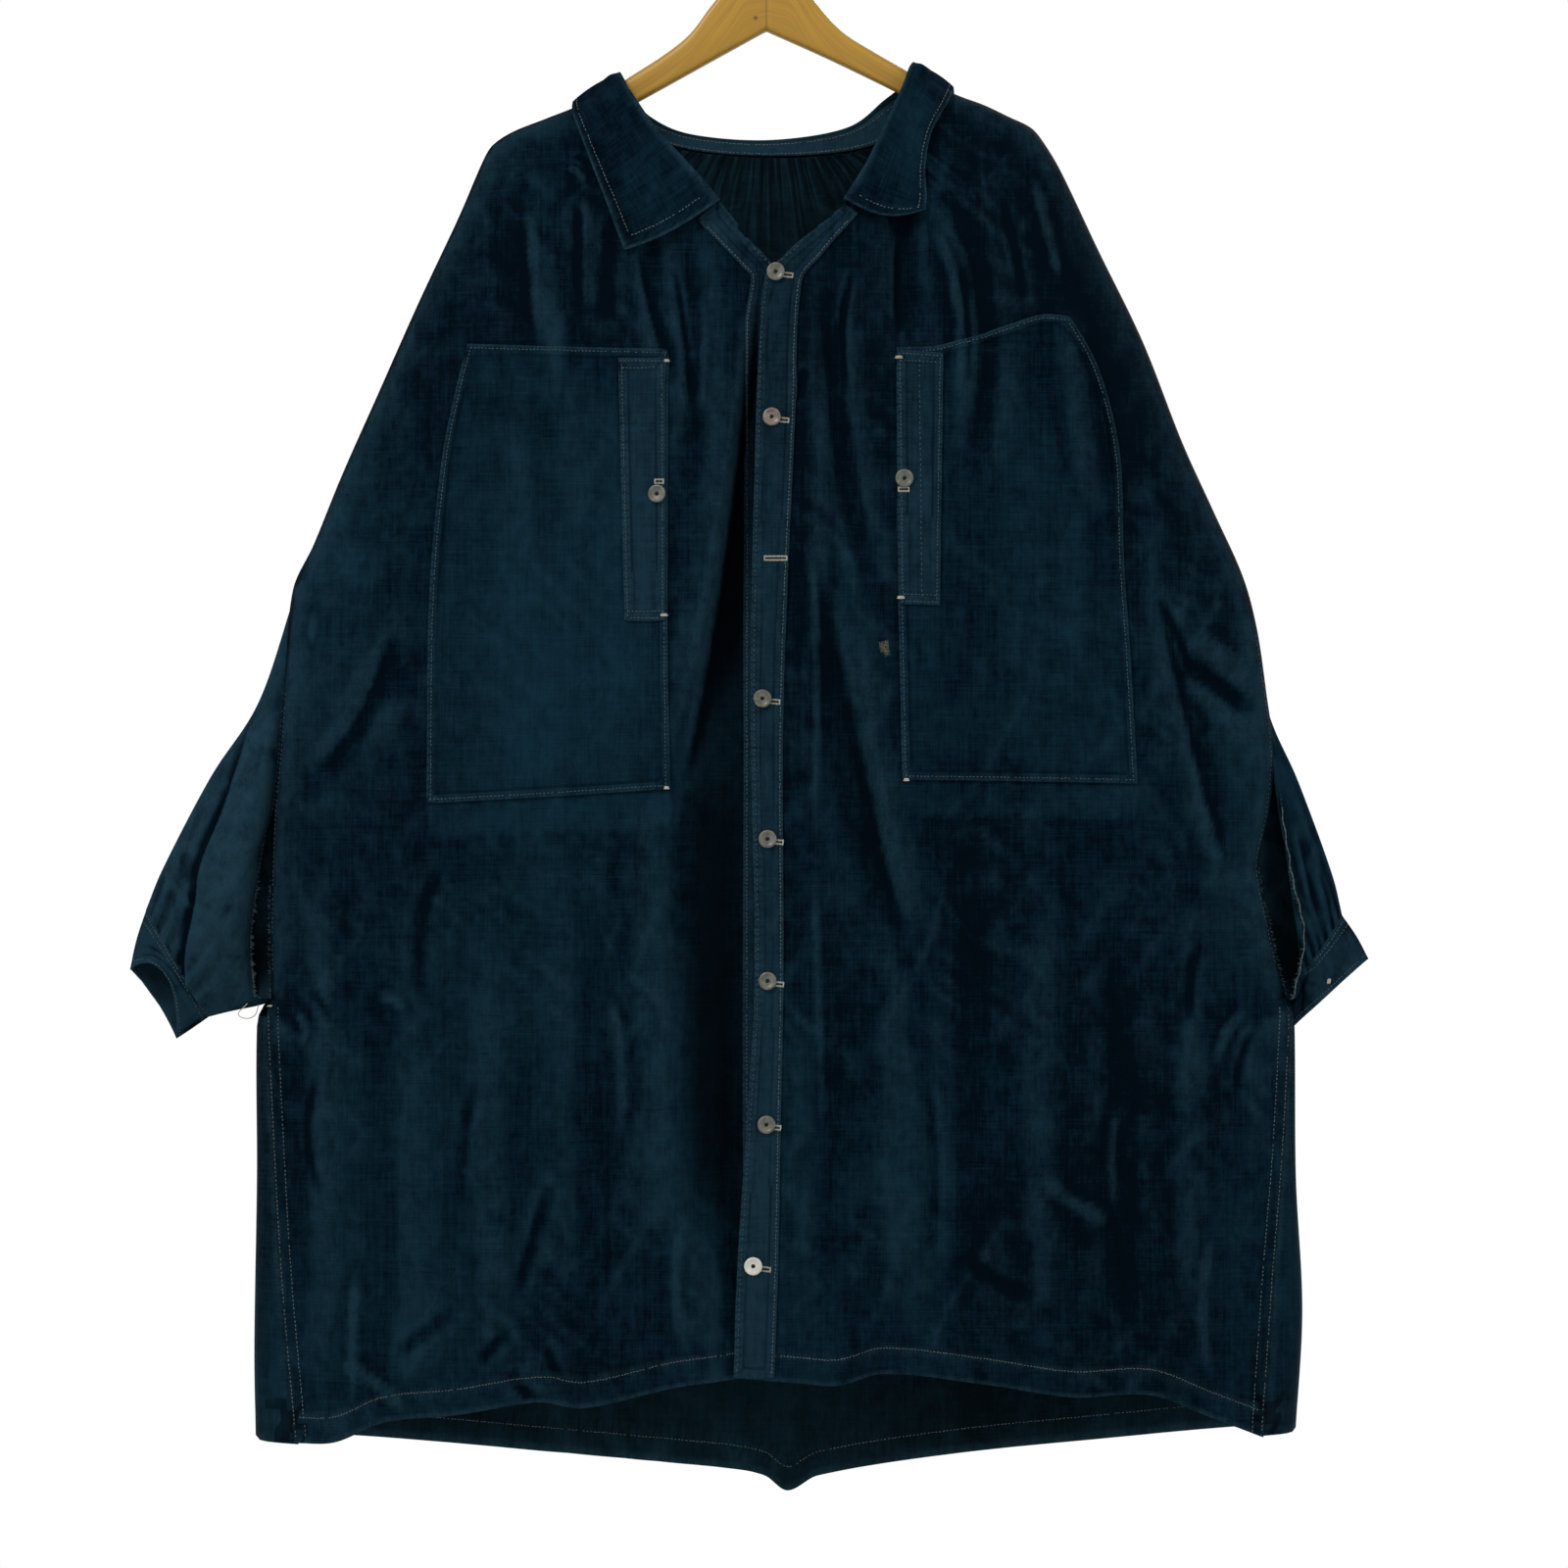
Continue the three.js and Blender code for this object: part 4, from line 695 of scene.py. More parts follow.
def maths(tree, operation, a, b=0.5, c=None, clamp=False):
    node = tree.nodes.new("ShaderNodeMath")
    node.operation = operation
    node.use_clamp = clamp
    for i, value in enumerate((a, b, c)):
        if value is None:
            continue
        if isinstance(value, (int, float)):
            node.inputs[i].default_value = value
        else:
            tree.links.new(value, node.inputs[i])
    return node.outputs[0]


def mixed(tree, share, a, b, blend="MIX"):
    node = tree.nodes.new("ShaderNodeMix")
    node.data_type = "RGBA"
    node.blend_type = blend
    inputs = [i for i in node.inputs if i.enabled]
    for socket, value in zip(inputs, (share, a, b)):
        if isinstance(value, (int, float)):
            socket.default_value = value
        elif isinstance(value, tuple):
            socket.default_value = (*value, 1)
        else:
            tree.links.new(value, socket)
    return [o for o in node.outputs if o.enabled][0]


def streaks(tree, coords, scale, detail=4.0, rough=0.6):
    mapping = add_node(tree, "ShaderNodeMapping")
    mapping.inputs["Scale"].default_value = scale
    link(tree, coords, mapping.inputs["Vector"])
    texture = add_node(tree, "ShaderNodeTexNoise", Scale=1.0, Detail=detail, Roughness=rough)
    link(tree, mapping.outputs[0], texture.inputs["Vector"])
    return texture.outputs["Fac"]


def ramp(tree, value, low, high):
    node = tree.nodes.new("ShaderNodeMapRange")
    link(tree, value, node.inputs["Value"])
    node.inputs["From Min"].default_value = low
    node.inputs["From Max"].default_value = high
    return node.outputs["Result"]


def raise_surface(tree, shader, heights, strength, distance):
    bump = add_node(tree, "ShaderNodeBump", Strength=strength, Distance=distance)
    link(tree, heights, bump.inputs["Height"])
    link(tree, bump.outputs[0], shader.inputs["Normal"])


def times(tree, a, b, clamp=False):
    return maths(tree, "MULTIPLY", a, b, clamp=clamp)


def total(tree, *terms):
    out = terms[0]
    for term in terms[1:]:
        out = maths(tree, "ADD", out, term)
    return out


def field(tree, key):
    return add_node(tree, "ShaderNodeAttribute", attribute_name=key).outputs["Fac"]


def linen_layers(tree):
    """The patterns that linen is mixed from: threads and slubs both ways, mottling, creases, and broad
    vertical panels of painted light and shade.
    """
    uv = add_node(tree, "ShaderNodeUVMap", uv_map="cloth").outputs[0]
    place = add_node(tree, "ShaderNodeTexCoord").outputs["Object"]
    warp, weft = (streaks(tree, uv, scale, 3.0) for scale in ((1300, 40, 1), (40, 1300, 1)))
    warp_wide, weft_wide = (streaks(tree, uv, scale, 5.0, 0.7) for scale in ((330, 6, 1), (8, 360, 1)))
    slubs = (streaks(tree, uv, scale, 2.0, 0.4) for scale in ((300, 26, 1), (22, 340, 1)))
    clouds = streaks(tree, place, (5, 5, 3), 7.0, 0.7)
    bent = streaks(tree, place, (15, 15, 10), 3.0, 0.6)
    away = maths(tree, "ABSOLUTE", maths(tree, "SUBTRACT", bent, 0.5))
    crease = maths(tree, "SUBTRACT", 1.0, ramp(tree, away, 0.0, 0.03))
    return {
        "threads": total(tree, times(tree, warp, 0.5), times(tree, weft, 0.5)),
        "wide": total(tree, times(tree, warp_wide, 0.58), times(tree, weft_wide, 0.42)),
        "slubs": total(tree, *(ramp(tree, slub, 0.66, 0.78) for slub in slubs)),
        "clouds": clouds,
        "mottle": streaks(tree, place, (95, 95, 64), 7.0, 0.75),
        "speck": streaks(tree, uv, (700, 700, 1), 3.0, 0.8),
        "crease": times(tree, crease, ramp(tree, clouds, 0.42, 0.6)),
        # Painted light and shade: broad vertical streaks standing in for the shading of soft folds
        "panels": streaks(tree, place, (11, 11, 1.7), 4.0, 0.55),
    }


def linen_colour(tree, layers, deep, faded, worn, wear_level):
    """Mottled fading, painted light and shade, worn ridges and seams, a tinted inside, and painted shade in
    deep folds and on the torn sleeve's inside.
    """
    base = [times(tree, ramp(tree, layers[key], low, high), strength)
            for key, low, high, strength in LINEN_MIX]
    base += [times(tree, layers["slubs"], 0.2), times(tree, layers["crease"], 0.2)]
    base = maths(tree, "SUBTRACT", total(tree, *base), 0.72 - wear_level)
    shade = maths(tree, "ADD", base, field(tree, "shade"), clamp=True)
    colour = mixed(tree, shade, deep, faded)
    rub = times(tree, field(tree, "wear"), total(tree, ramp(tree, layers["speck"], 0.3, 0.75), 0.3))
    rub = times(tree, rub, total(tree, ramp(tree, layers["mottle"], 0.3, 0.6), 0.3), clamp=True)
    colour = mixed(tree, rub, colour, worn)
    colour = mixed(tree, times(tree, field(tree, "inside"), INSIDE_SHARE), colour, INSIDE)
    return mixed(tree, times(tree, field(tree, "painted_hollow_shade"), PAINTED_HOLLOW_SHADE), colour, PAINTED_HOLLOW_SHADE_COLOUR)


def linen_heights(tree, layers):
    """Weave, mottling, slubs and creases, and puckers along the seams."""
    waves = times(tree, field(tree, "along"), 2 * math.pi / PUCKER_PITCH)
    ripple = maths(tree, "SINE", total(tree, waves, times(tree, layers["mottle"], 9.0)))
    pucker = times(tree, ripple, times(tree, field(tree, "pucker"), 0.55))
    weave = total(tree, times(tree, layers["threads"], 0.22), times(tree, layers["wide"], 0.3))
    uneven = total(tree, pucker, times(tree, layers["mottle"], 0.8))
    raised = total(tree, times(tree, layers["slubs"], 0.1), times(tree, layers["crease"], 0.5))
    return total(tree, weave, uneven, raised)


def linen(name, deep, faded, worn, wear_level=0.0):
    """Indigo linen, whose colour goes from deep through faded to worn."""
    material, tree, shader = nodes_of(name)
    layers = linen_layers(tree)
    link(tree, linen_colour(tree, layers, deep, faded, worn, wear_level), shader.inputs["Base Color"])
    shader.inputs["Roughness"].default_value = 0.95
    shader.inputs["Specular IOR Level"].default_value = 0.02
    raise_surface(tree, shader, linen_heights(tree, layers), 0.9, 0.0014)
    return material


def plain(name, colour, roughness, spots=None, metallic=0.0, scale=(120, 120, 120), strength=0.25):
    """A mottled hard or thread material."""
    material, tree, shader = nodes_of(name)
    place = add_node(tree, "ShaderNodeTexCoord").outputs["Object"]
    grain = streaks(tree, place, scale, 5.0, 0.6)
    colour_out = mixed(tree, ramp(tree, grain, 0.35, 0.68), colour, spots or colour)
    link(tree, colour_out, shader.inputs["Base Color"])
    rough = maths(tree, "ADD", times(tree, grain, 0.25), roughness - 0.12, clamp=True)
    link(tree, rough, shader.inputs["Roughness"])
    shader.inputs["Metallic"].default_value = metallic
    raise_surface(tree, shader, grain, strength, 0.0003)
    return material


def wood_material():
    """Honey-coloured varnished wood with a small knot, and grain that runs along each arm."""
    material, tree, shader = nodes_of("varnished_wood")
    uv = add_node(tree, "ShaderNodeUVMap", uv_map="cloth").outputs[0]
    place = add_node(tree, "ShaderNodeTexCoord").outputs["Object"]
    fibres = streaks(tree, uv, (14, 520, 1), 6.0, 0.65)
    bands = streaks(tree, uv, (5, 110, 1), 4.0, 0.55)
    colour = mixed(tree, ramp(tree, bands, 0.3, 0.7), WOOD_PALE, WOOD_WARM)
    grain = times(tree, ramp(tree, fibres, 0.42, 0.7), 0.45)
    colour = mixed(tree, grain, colour, WOOD_GRAIN)
    away = add_node(tree, "ShaderNodeVectorMath", operation="DISTANCE")
    link(tree, place, away.inputs[0])
    away.inputs[1].default_value = KNOT_AT
    knot = ramp(tree, away.outputs["Value"], 0.0022, 0.0010)
    colour = mixed(tree, times(tree, knot, 0.7, clamp=True), colour, WOOD_KNOT)
    link(tree, colour, shader.inputs["Base Color"])
    shader.inputs["Roughness"].default_value = 0.42
    shader.inputs["Specular IOR Level"].default_value = 0.3
    shader.inputs["Coat Weight"].default_value = 0.08
    shader.inputs["Coat Roughness"].default_value = 0.3
    raise_surface(tree, shader, fibres, 0.15, 0.0004)
    return material


KNOT_AT = (-0.0106, -0.006, -0.1193)
WOOD_PALE = (0.300, 0.165, 0.013)
WOOD_WARM = (0.235, 0.122, 0.009)
WOOD_GRAIN = (0.130, 0.060, 0.005)
WOOD_KNOT = (0.050, 0.022, 0.003)
PUCKER_PITCH = 6.5
# Each layer of the cloth's colour, the range it is read over and its strength
LINEN_MIX = (("clouds", 0.34, 0.66, 0.34), ("mottle", 0.34, 0.66, 0.44), ("panels", 0.36, 0.64, 0.4),
             ("wide", 0.36, 0.64, 0.36), ("threads", 0.3, 0.7, 0.66))
INSIDE_SHARE = 0.25
# How strongly painted shade darkens deep folds and the torn sleeve's inside
PAINTED_HOLLOW_SHADE = 0.85
INSIDE = (0.0044, 0.0098, 0.0094)
# The near-black colour of that painted shade
PAINTED_HOLLOW_SHADE_COLOUR = (0.0003, 0.0014, 0.0024)
DEEP = (0.0001, 0.0019, 0.0043)
FADED = (0.0030, 0.0150, 0.0250)
WORN = (0.014, 0.037, 0.053)
BAND_FADED = (0.0054, 0.0182, 0.0288)
LINEN = linen("indigo_linen", DEEP, FADED, WORN)
LINEN_BAND = linen("indigo_linen_band", DEEP, BAND_FADED, WORN, 0.2)
THREAD = plain("seam_thread", (0.024, 0.046, 0.058), 0.9, (0.011, 0.025, 0.035))
TAN_THREAD = plain("tan_thread", (0.056, 0.072, 0.073), 0.9, (0.026, 0.040, 0.045))
PALE_THREAD = plain("pale_thread", (0.30, 0.29, 0.24), 0.9, (0.18, 0.18, 0.15))
KHAKI = plain("frayed_khaki", (0.060, 0.055, 0.030), 0.95, (0.032, 0.032, 0.020))
HORN = plain("grey_horn", (0.085, 0.086, 0.066), 0.4, (0.026, 0.027, 0.020), scale=(190, 190, 190))
PINK_HORN = plain("pink_horn", (0.15, 0.115, 0.095), 0.35, (0.05, 0.038, 0.032), scale=(190, 190, 190))
PEARL = plain("pale_pearl", (0.42, 0.42, 0.37), 0.3, (0.30, 0.30, 0.28), scale=(90, 90, 60))
WOOD = wood_material()
STEEL = plain("hook_steel", (0.50, 0.51, 0.52), 0.3, (0.38, 0.39, 0.40), metallic=1.0, scale=(60, 60, 400),
              strength=0.1)
# Painted shadow: near-black for the shaded gaps of the buttonholes and the holes of the buttons
SLIT = plain("painted_slit_shadow", (0.0012, 0.002, 0.003), 0.95)


def shifted(grid, step, axis):
    places = np.clip(np.arange(grid.shape[axis]) + step, 0, grid.shape[axis] - 1)
    return np.take(grid, places, axis)


def ridges(depth):
    """How far the cloth stands out from its surroundings, over a few sizes."""
    raised = np.zeros(np.shape(depth))
    for axis in (0, 1):
        for step in (2, 5):
            smooth = (shifted(depth, step, axis) + shifted(depth, -step, axis)) / 2
            raised += np.clip(depth - smooth, -1.2, 1.2) / step * 2
    return raised


def marks(x, z, depth, lines, folds=()):
    """Wear, pucker, lightness by place with painted shading, and painted shade in the deep folds of a panel.
    Lines are outlines with their pucker, wear and width.
    """
    raised = ridges(depth)
    wear = 0.14 * np.clip(raised, 0, 2)
    near_neck = ease((z + 340) / 130)
    # Painted light and shade: raised cloth is lightened and sunken cloth darkened, most strongly in the
    # gathers near the neck
    shade = np.clip((0.15 + 0.22 * near_neck) * raised, -0.42, 0.26)
    shade = shade + CHEST_SHADE + (LOW_SHADE - CHEST_SHADE) * ease((-260 - z) / 420)
    # Painted shade on the viewer's right, the side away from the light
    shade = shade + PAINTED_FAR_SIDE_SHADE * ease((x - 50) / 110)
    # Painted shade: folds that sink more than 8 mm are darkened towards near-black
    deep = relief([row for row in folds if row[-1] < -8], x, z)
    pucker, along = np.zeros(np.shape(x)), np.zeros(np.shape(x))
    for rows, pull, rub, width in lines:
        away, s = nearest(rows, x, z)
        near = np.exp(-((away / width) ** 2))
        along = np.where(pull * near > pucker, s, along)
        pucker = np.maximum(pucker, pull * near)
        wear = np.maximum(wear, rub * np.exp(-((away / (0.35 * width)) ** 2)))
    return {"wear": wear, "pucker": pucker, "along": along, "shade": shade,
            "painted_hollow_shade": np.clip((-deep - 4) / 16, 0, 1)}


def hem_line(rows, up):
    return {"x": rows["x"], "z": rows["z"] + up}


def hem_rise(above_hem):
    return HEM_RISE * ease((HEM_WIDTH - above_hem) / 1.5)


# Fronts
def inside_outline(rows, x, z):
    hit = np.zeros(np.shape(x), bool)
    for i in range(1, len(rows["x"])):
        x0, z0, x1, z1 = rows["x"][i - 1], rows["z"][i - 1], rows["x"][i], rows["z"][i]
        crosses = (z0 > z) != (z1 > z)
        hit ^= crosses & (x < (x1 - x0) * (z - z0) / (z1 - z0 + 1e-12) + x0)
    return hit


def quad_centres(grid):
    return (grid[:-1, :-1] + grid[1:, :-1] + grid[:-1, 1:] + grid[1:, 1:]) / 4


# The faded strip that a longer pocket left under each patch.
FADE = 0.3
FADE_DEPTH = 28
FRONT_COLS, FRONT_ROWS = 150, 255
grounds = {}
for side in SIDES:
    u = np.linspace(0, 1, FRONT_COLS)
    v = np.concatenate([np.linspace(0, 0.12, 60, endpoint=False), np.linspace(0.12, 1, FRONT_ROWS - 60)])
    U, V = np.meshgrid(u, v)
    P = front_points(side, U, V)
    x, z = P[..., 0], P[..., 2]
    seam, _ = nearest(joined(ARMHOLE[side], SIDE_SEAM[side]), x, z)
    lap = LAP_RISE * ease((9 - seam) / 1.5) * ease((-880 - z) / 10)
    P[..., 1] -= hem_rise(z - read(FRONT_HEM[side], "x", "z", x)) + lap
    stitched = [(hem_line(FRONT_HEM[side], HEM_WIDTH), 1.0, 0.3, 7),
                (hem_line(FRONT_HEM[side], 0), 0.5, 0.8, 5),
                (SIDE_SEAM[side], 0.8, 0.4, 8), (ARMHOLE[side], 0.3, 0.25, 5)]
    fields = marks(x, z, -P[..., 1], stitched, FOLDS[side])
    foot = table("x z", POCKET[side]["bottom"])
    below = np.interp(x, foot["x"], foot["z"], left=-2000, right=-2000) - z
    fields["shade"] = fields["shade"] + FADE * ease(below / 3) * ease((FADE_DEPTH - below) / 2)
    mask = None
    if side == "left":
        mask = ~inside_outline(TORN_HOLE, quad_centres(x), quad_centres(z))
    grounds[side] = Ground(P)
    front = shell(f"linen_front_{side}", P, LINEN, turn=-OUTWARD[side], mask=mask, fields=fields,
                  uv=np.stack([x, z], -1))
    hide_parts(f"front_{side}")


# Back
BACK_COLS, WRAP_COLS, BACK_ROWS = 150, 6, 150


def wrap_share(side, v):
    _, z = Route(BODY_OUTLINE[side]).at(v)
    seam, fold = read(SIDE_SEAM[side], "z", "x", z), read(SIDE_FOLD[side], "z", "x", z)
    return np.where(z > SIDE_SEAM[side]["z"][0], 0, np.abs(fold - seam) + WRAP_UNDER) / 100


v = np.concatenate([np.linspace(0, 0.1, 30, endpoint=False), np.linspace(0.1, 1, BACK_ROWS - 30)])
parts = np.linspace(0, 1, WRAP_COLS + 1)[1:]
half = np.linspace(0, 1, BACK_COLS + 1)
rows_u = []
for at in v:
    right, left = wrap_share("right", at), wrap_share("left", at)
    rows_u.append(np.concatenate([
        -(1 + right * parts[::-1]), -half[:0:-1], [-1e-9], half[1:], 1 + left * parts]))
U, V = np.array(rows_u), np.broadcast_to(v[:, None], (len(v), len(rows_u[0])))
P = back_points(U, V)
x, z = P[..., 0], P[..., 2]
P[..., 1] += np.where(np.abs(U) <= 1, hem_rise(z - read(BACK_HEM, "x", "z", x)), 0)
mask = np.ones((len(v) - 1, P.shape[1] - 1), bool)
for side, cols in (("right", slice(0, WRAP_COLS)), ("left", slice(-WRAP_COLS, None))):
    mask[:, cols] = (wrap_share(side, v[:-1]) > 0)[:, None]
stitched = [(hem_line(BACK_HEM, HEM_WIDTH), 1.0, 0.3, 7), (hem_line(BACK_HEM, 0), 0.5, 0.8, 5),
            *((SIDE_SEAM[side], 0.8, 0.5, 8) for side in SIDES)]
fields = marks(x, z, P[..., 1], stitched)
# Painted light on the side strips: one even, lighter value in place of the painted relief shading
fields["shade"] = np.where(np.abs(U) > 0.985, PAINTED_STRIP_LIGHT, fields["shade"])
back_grid = P
back = shell("linen_back", P, LINEN, mask=mask, fields=fields, uv=np.stack([x, z], -1))
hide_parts("back")


# Sleeves and cuffs
sleeve_grids, cuff_grids = {}, {}
SLEEVE_COLS, SLEEVE_ROWS = 150, 110
CUFF_COLS, CUFF_ROWS = 120, 26
GIRTH = 2 * math.pi * 55
SLEEVE_CLOTH = (170, 200)
CUFF_CLOTH = (95, 45)
WAVE_HEIGHT = 2.2
# The left cuff's lower end lies behind the body.
CUFF_BEHIND = {"right": 0, "left": 9}


def ring(rows, share, w):
    at = rows["at"][-1] * w
    front = share < 0.5
    t = np.where(front, share * 2, 2 - share * 2)
    value = lambda name: read(rows, "at", name, at)
    bulge = np.sin(np.pi * np.clip(t, 0, 1)) ** 0.7
    x = value("tx") + (value("bx") - value("tx")) * t
    z = value("tz") + (value("bz") - value("tz")) * t
    depth = np.where(front, value("front"), value("back")) * bulge
    return front, t, bulge, x, z, depth, value


def sleeve_points(side, share, w):
    rows = SLEEVE[side]
    first = ends(rows, 0)
    front, t, bulge, x, z, depth, _ = ring(rows, share, w)
    at_z = first["tz"] + (first["bz"] - first["tz"]) * t
    torn = read(SLEEVE_EDGE[side], "z", "x", at_z)
    shoulder_end = ends(SHOULDER[side], -1)
    edge = joined({n: np.array([shoulder_end[n]]) for n in shoulder_end}, ARMHOLE[side])
    body = read(edge, "z", "x", at_z)
    sewn = ease((5 - np.abs(torn - body)) / 2.5)
    armhole = torn - OUTWARD[side] * SEWN_UNDER * sewn
    back_edge = body - OUTWARD[side] * SEWN_UNDER
    straight = first["tx"] + (first["bx"] - first["tx"]) * t
    px = x + (np.where(front, armhole, back_edge) - straight) * (1 - w) ** 2
    folds = np.where(front, relief(SLEEVE_FOLDS[side], px, z), 0) * bulge * ease(w / 0.15)
    uneven = t + 0.02 * np.sin(9 * t)
    wave = (np.cos(2 * np.pi * SLEEVE_GATHERS * uneven) * np.exp(-(1 - w) * 6)
            + 0.7 * np.cos(1.6 * np.pi * SLEEVE_GATHERS * uneven + 1) * np.exp(-(1 - w) * 2.6))
    fine = 1.1 * crumple(px + np.where(front, 0, 300), z, CRUMPLE_SEED["sleeve"]) * bulge
    fine = fine * ease(w / 0.1) * ease((1 - w) / 0.05)
    over, painted_ridge_shading = np.zeros(np.shape(px)), np.zeros(np.shape(px))
    if side == "right":
        lap = px - read(SLEEVE_RIDGE, "z", "x", z)
        there = np.where(front, ease((-640 - z) / 40) * ease(w / 0.2) * bulge, 0)
        over = ease(lap / 3.5 + 0.5) * there
        # Painted light on the overlapping fold and a painted shadow just beyond its edge
        painted_ridge_shading = 0.2 * over - 0.6 * np.exp(-(((lap + 4) / 4) ** 2)) * there
    out = depth + folds + RIDGE_HEIGHT * over + WAVE_HEIGHT * wave * bulge + fine
    shape = folds + RIDGE_HEIGHT * over + WAVE_HEIGHT * wave * bulge + 2 * fine
    return np.stack([px, np.where(front, -out, out), z], -1), shape, painted_ridge_shading


def cuff_points(side, share, w):
    front, t, bulge, x, z, depth, value = ring(CUFF[side], share, w)
    pull = np.where(front, value("pull") * bulge, 0)
    behind = CUFF_BEHIND[side] * ease((t - 0.55) / 0.35)
    crushed = 1.5 * crumple(x * 1.6, z * 1.6, CRUMPLE_SEED["cuff"]) * bulge
    y = np.where(front, -depth, depth) + behind + crushed
    return np.stack([x - OUTWARD[side] * pull * 0.45, y, z + pull * 0.9], -1)


def ring_grid(cols, rows):
    return np.meshgrid(np.linspace(0, 1, cols, endpoint=False), np.linspace(0, 1, rows))


def ring_cloth(share, w, size):
    return np.stack([np.abs(share - 0.5) * 2 * size[0], w * size[1]], -1)


for side in SIDES:
    share, w = ring_grid(SLEEVE_COLS, SLEEVE_ROWS)
    P, shape, painted_ridge_shading = sleeve_points(side, share, w)
    uv = ring_cloth(share, w, SLEEVE_CLOTH)
    # Wear on the sleeve: its lift towards the worn colour, worn ridges, top, fold line and cuff end, held
    # back under the painted shadow
    wear = (SLEEVE_LIFT[side] + np.clip(0.12 * ridges(shape) + painted_ridge_shading, -0.5, 0.1) + 0.3 * np.exp(-w * 60)
            + 0.25 * np.exp(-np.abs(share - 0.5) * 90) + 0.4 * np.exp(-(1 - w) * 40))
    # Shade: the sleeve's set lightness, the painted light and shadow at the overlapping fold, and painted
    # relief shading that lightens raised cloth and darkens sunken cloth
    fields = {"wear": wear, "pucker": 0.9 * np.exp(-(1 - w) * 14), "along": share * GIRTH,
              "shade": SLEEVE_SHADE[side] + painted_ridge_shading + np.clip(0.28 * ridges(shape), -0.5, 0.25)}
    # Painted shade inside the torn sleeve, on its back half and low down
    torn_inside_shade = ease((share - 0.5) / 0.05) * ease((-800 - P[..., 2]) / 50)
    sleeve_grids[side] = P
    sleeve = shell(f"linen_sleeve_{side}", P, LINEN, turn=OUTWARD[side], closed=True,
                   fields=fields, uv=uv, inside_shade=torn_inside_shade)
    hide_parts(f"sleeve_{side}")
    share, w = ring_grid(CUFF_COLS, CUFF_ROWS)
    P = cuff_points(side, share, w)
    # Shade: random variation in lightness, and painted relief shading that lightens raised cloth and darkens
    # creases
    shade = (SLEEVE_SHADE[side] - 0.06 + 0.2 * noise(share * 300, w * 60, 22, 8)
             + np.clip(0.4 * ridges(np.abs(P[..., 1])), -0.6, 0.3))
    fields = {"wear": 0.9 * np.exp(-(1 - w) * 22) + 0.5 * np.exp(-w * 22), "pucker": 0.6 * np.exp(-w * 8),
              "along": share * GIRTH, "shade": shade}
    uv = ring_cloth(share, w, CUFF_CLOTH)
    cuff_grids[side] = P
    cuff = shell(f"linen_cuff_{side}", P, LINEN_BAND, 1.6, turn=OUTWARD[side], closed=True,
                 fields=fields, uv=uv)
    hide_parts(f"cuff_{side}")


# Pieces laid on the fronts
def patch_grid(sides, cols, rows):
    """Points inside four boundary lines."""
    s, t = np.meshgrid(np.linspace(0, 1, cols), np.linspace(0, 1, rows))
    top, bottom, start, end = (Route(sides[k]) for k in ("top", "bottom", "start", "end"))
    out = []
    for axis in (0, 1):
        a, b = top.at(s)[axis], bottom.at(s)[axis]
        c, d = start.at(t)[axis], end.at(t)[axis]
        flat = ((1 - s) * (1 - t) * sides["top"][0][axis] + s * (1 - t) * sides["top"][-1][axis]
                + (1 - s) * t * sides["bottom"][0][axis] + s * t * sides["bottom"][-1][axis])
        out.append((1 - t) * a + t * b + (1 - s) * c + s * d - flat)
    return out


EDGE_ROLL = 0.5
RIM_STEP = 6
POCKET_COLS, POCKET_ROWS = 64, 116
WELT_COLS, WELT_ROWS = 18, 90
BAND_COLS, BAND_ROWS = 16, 300


def laid(name, side, x, z, layers, material):
    """A cloth piece that lies on a front, a number of layers up, with its turned edges a little proud."""
    base, _ = grounds[side].lay(x, z)
    normals = grid_normals(base)
    turn = 1 if normals[..., 1].mean() < 0 else -1
    rim = {"x": np.concatenate([x[0], x[:, -1], x[-1][::-1], x[::-1, 0]]),
           "z": np.concatenate([z[0], z[:, -1], z[-1][::-1], z[::-1, 0]])}
    edge, s = nearest({k: rim[k][::RIM_STEP] for k in rim}, x, z)
    lifted = EDGE_ROLL * ease((8 - edge) / 2)
    P = base + normals * turn * (layers * LAYER + lifted)[..., None]
    fields = marks(x, z, -P[..., 1], [])
    fields["shade"] = fields["shade"] + POCKET_SHADE[side]
    near = np.exp(-((edge / 5) ** 2))
    fields["pucker"] = np.maximum(fields["pucker"], near)
    fields["along"] = np.where(near > 0.1, s, fields["along"])
    fields["wear"] = np.maximum(fields["wear"], 0.75 * np.exp(-((edge / 1.8) ** 2)))
    piece = shell(name, P, material, turn=turn, fields=fields, uv=np.stack([x, z], -1))
    return piece, P


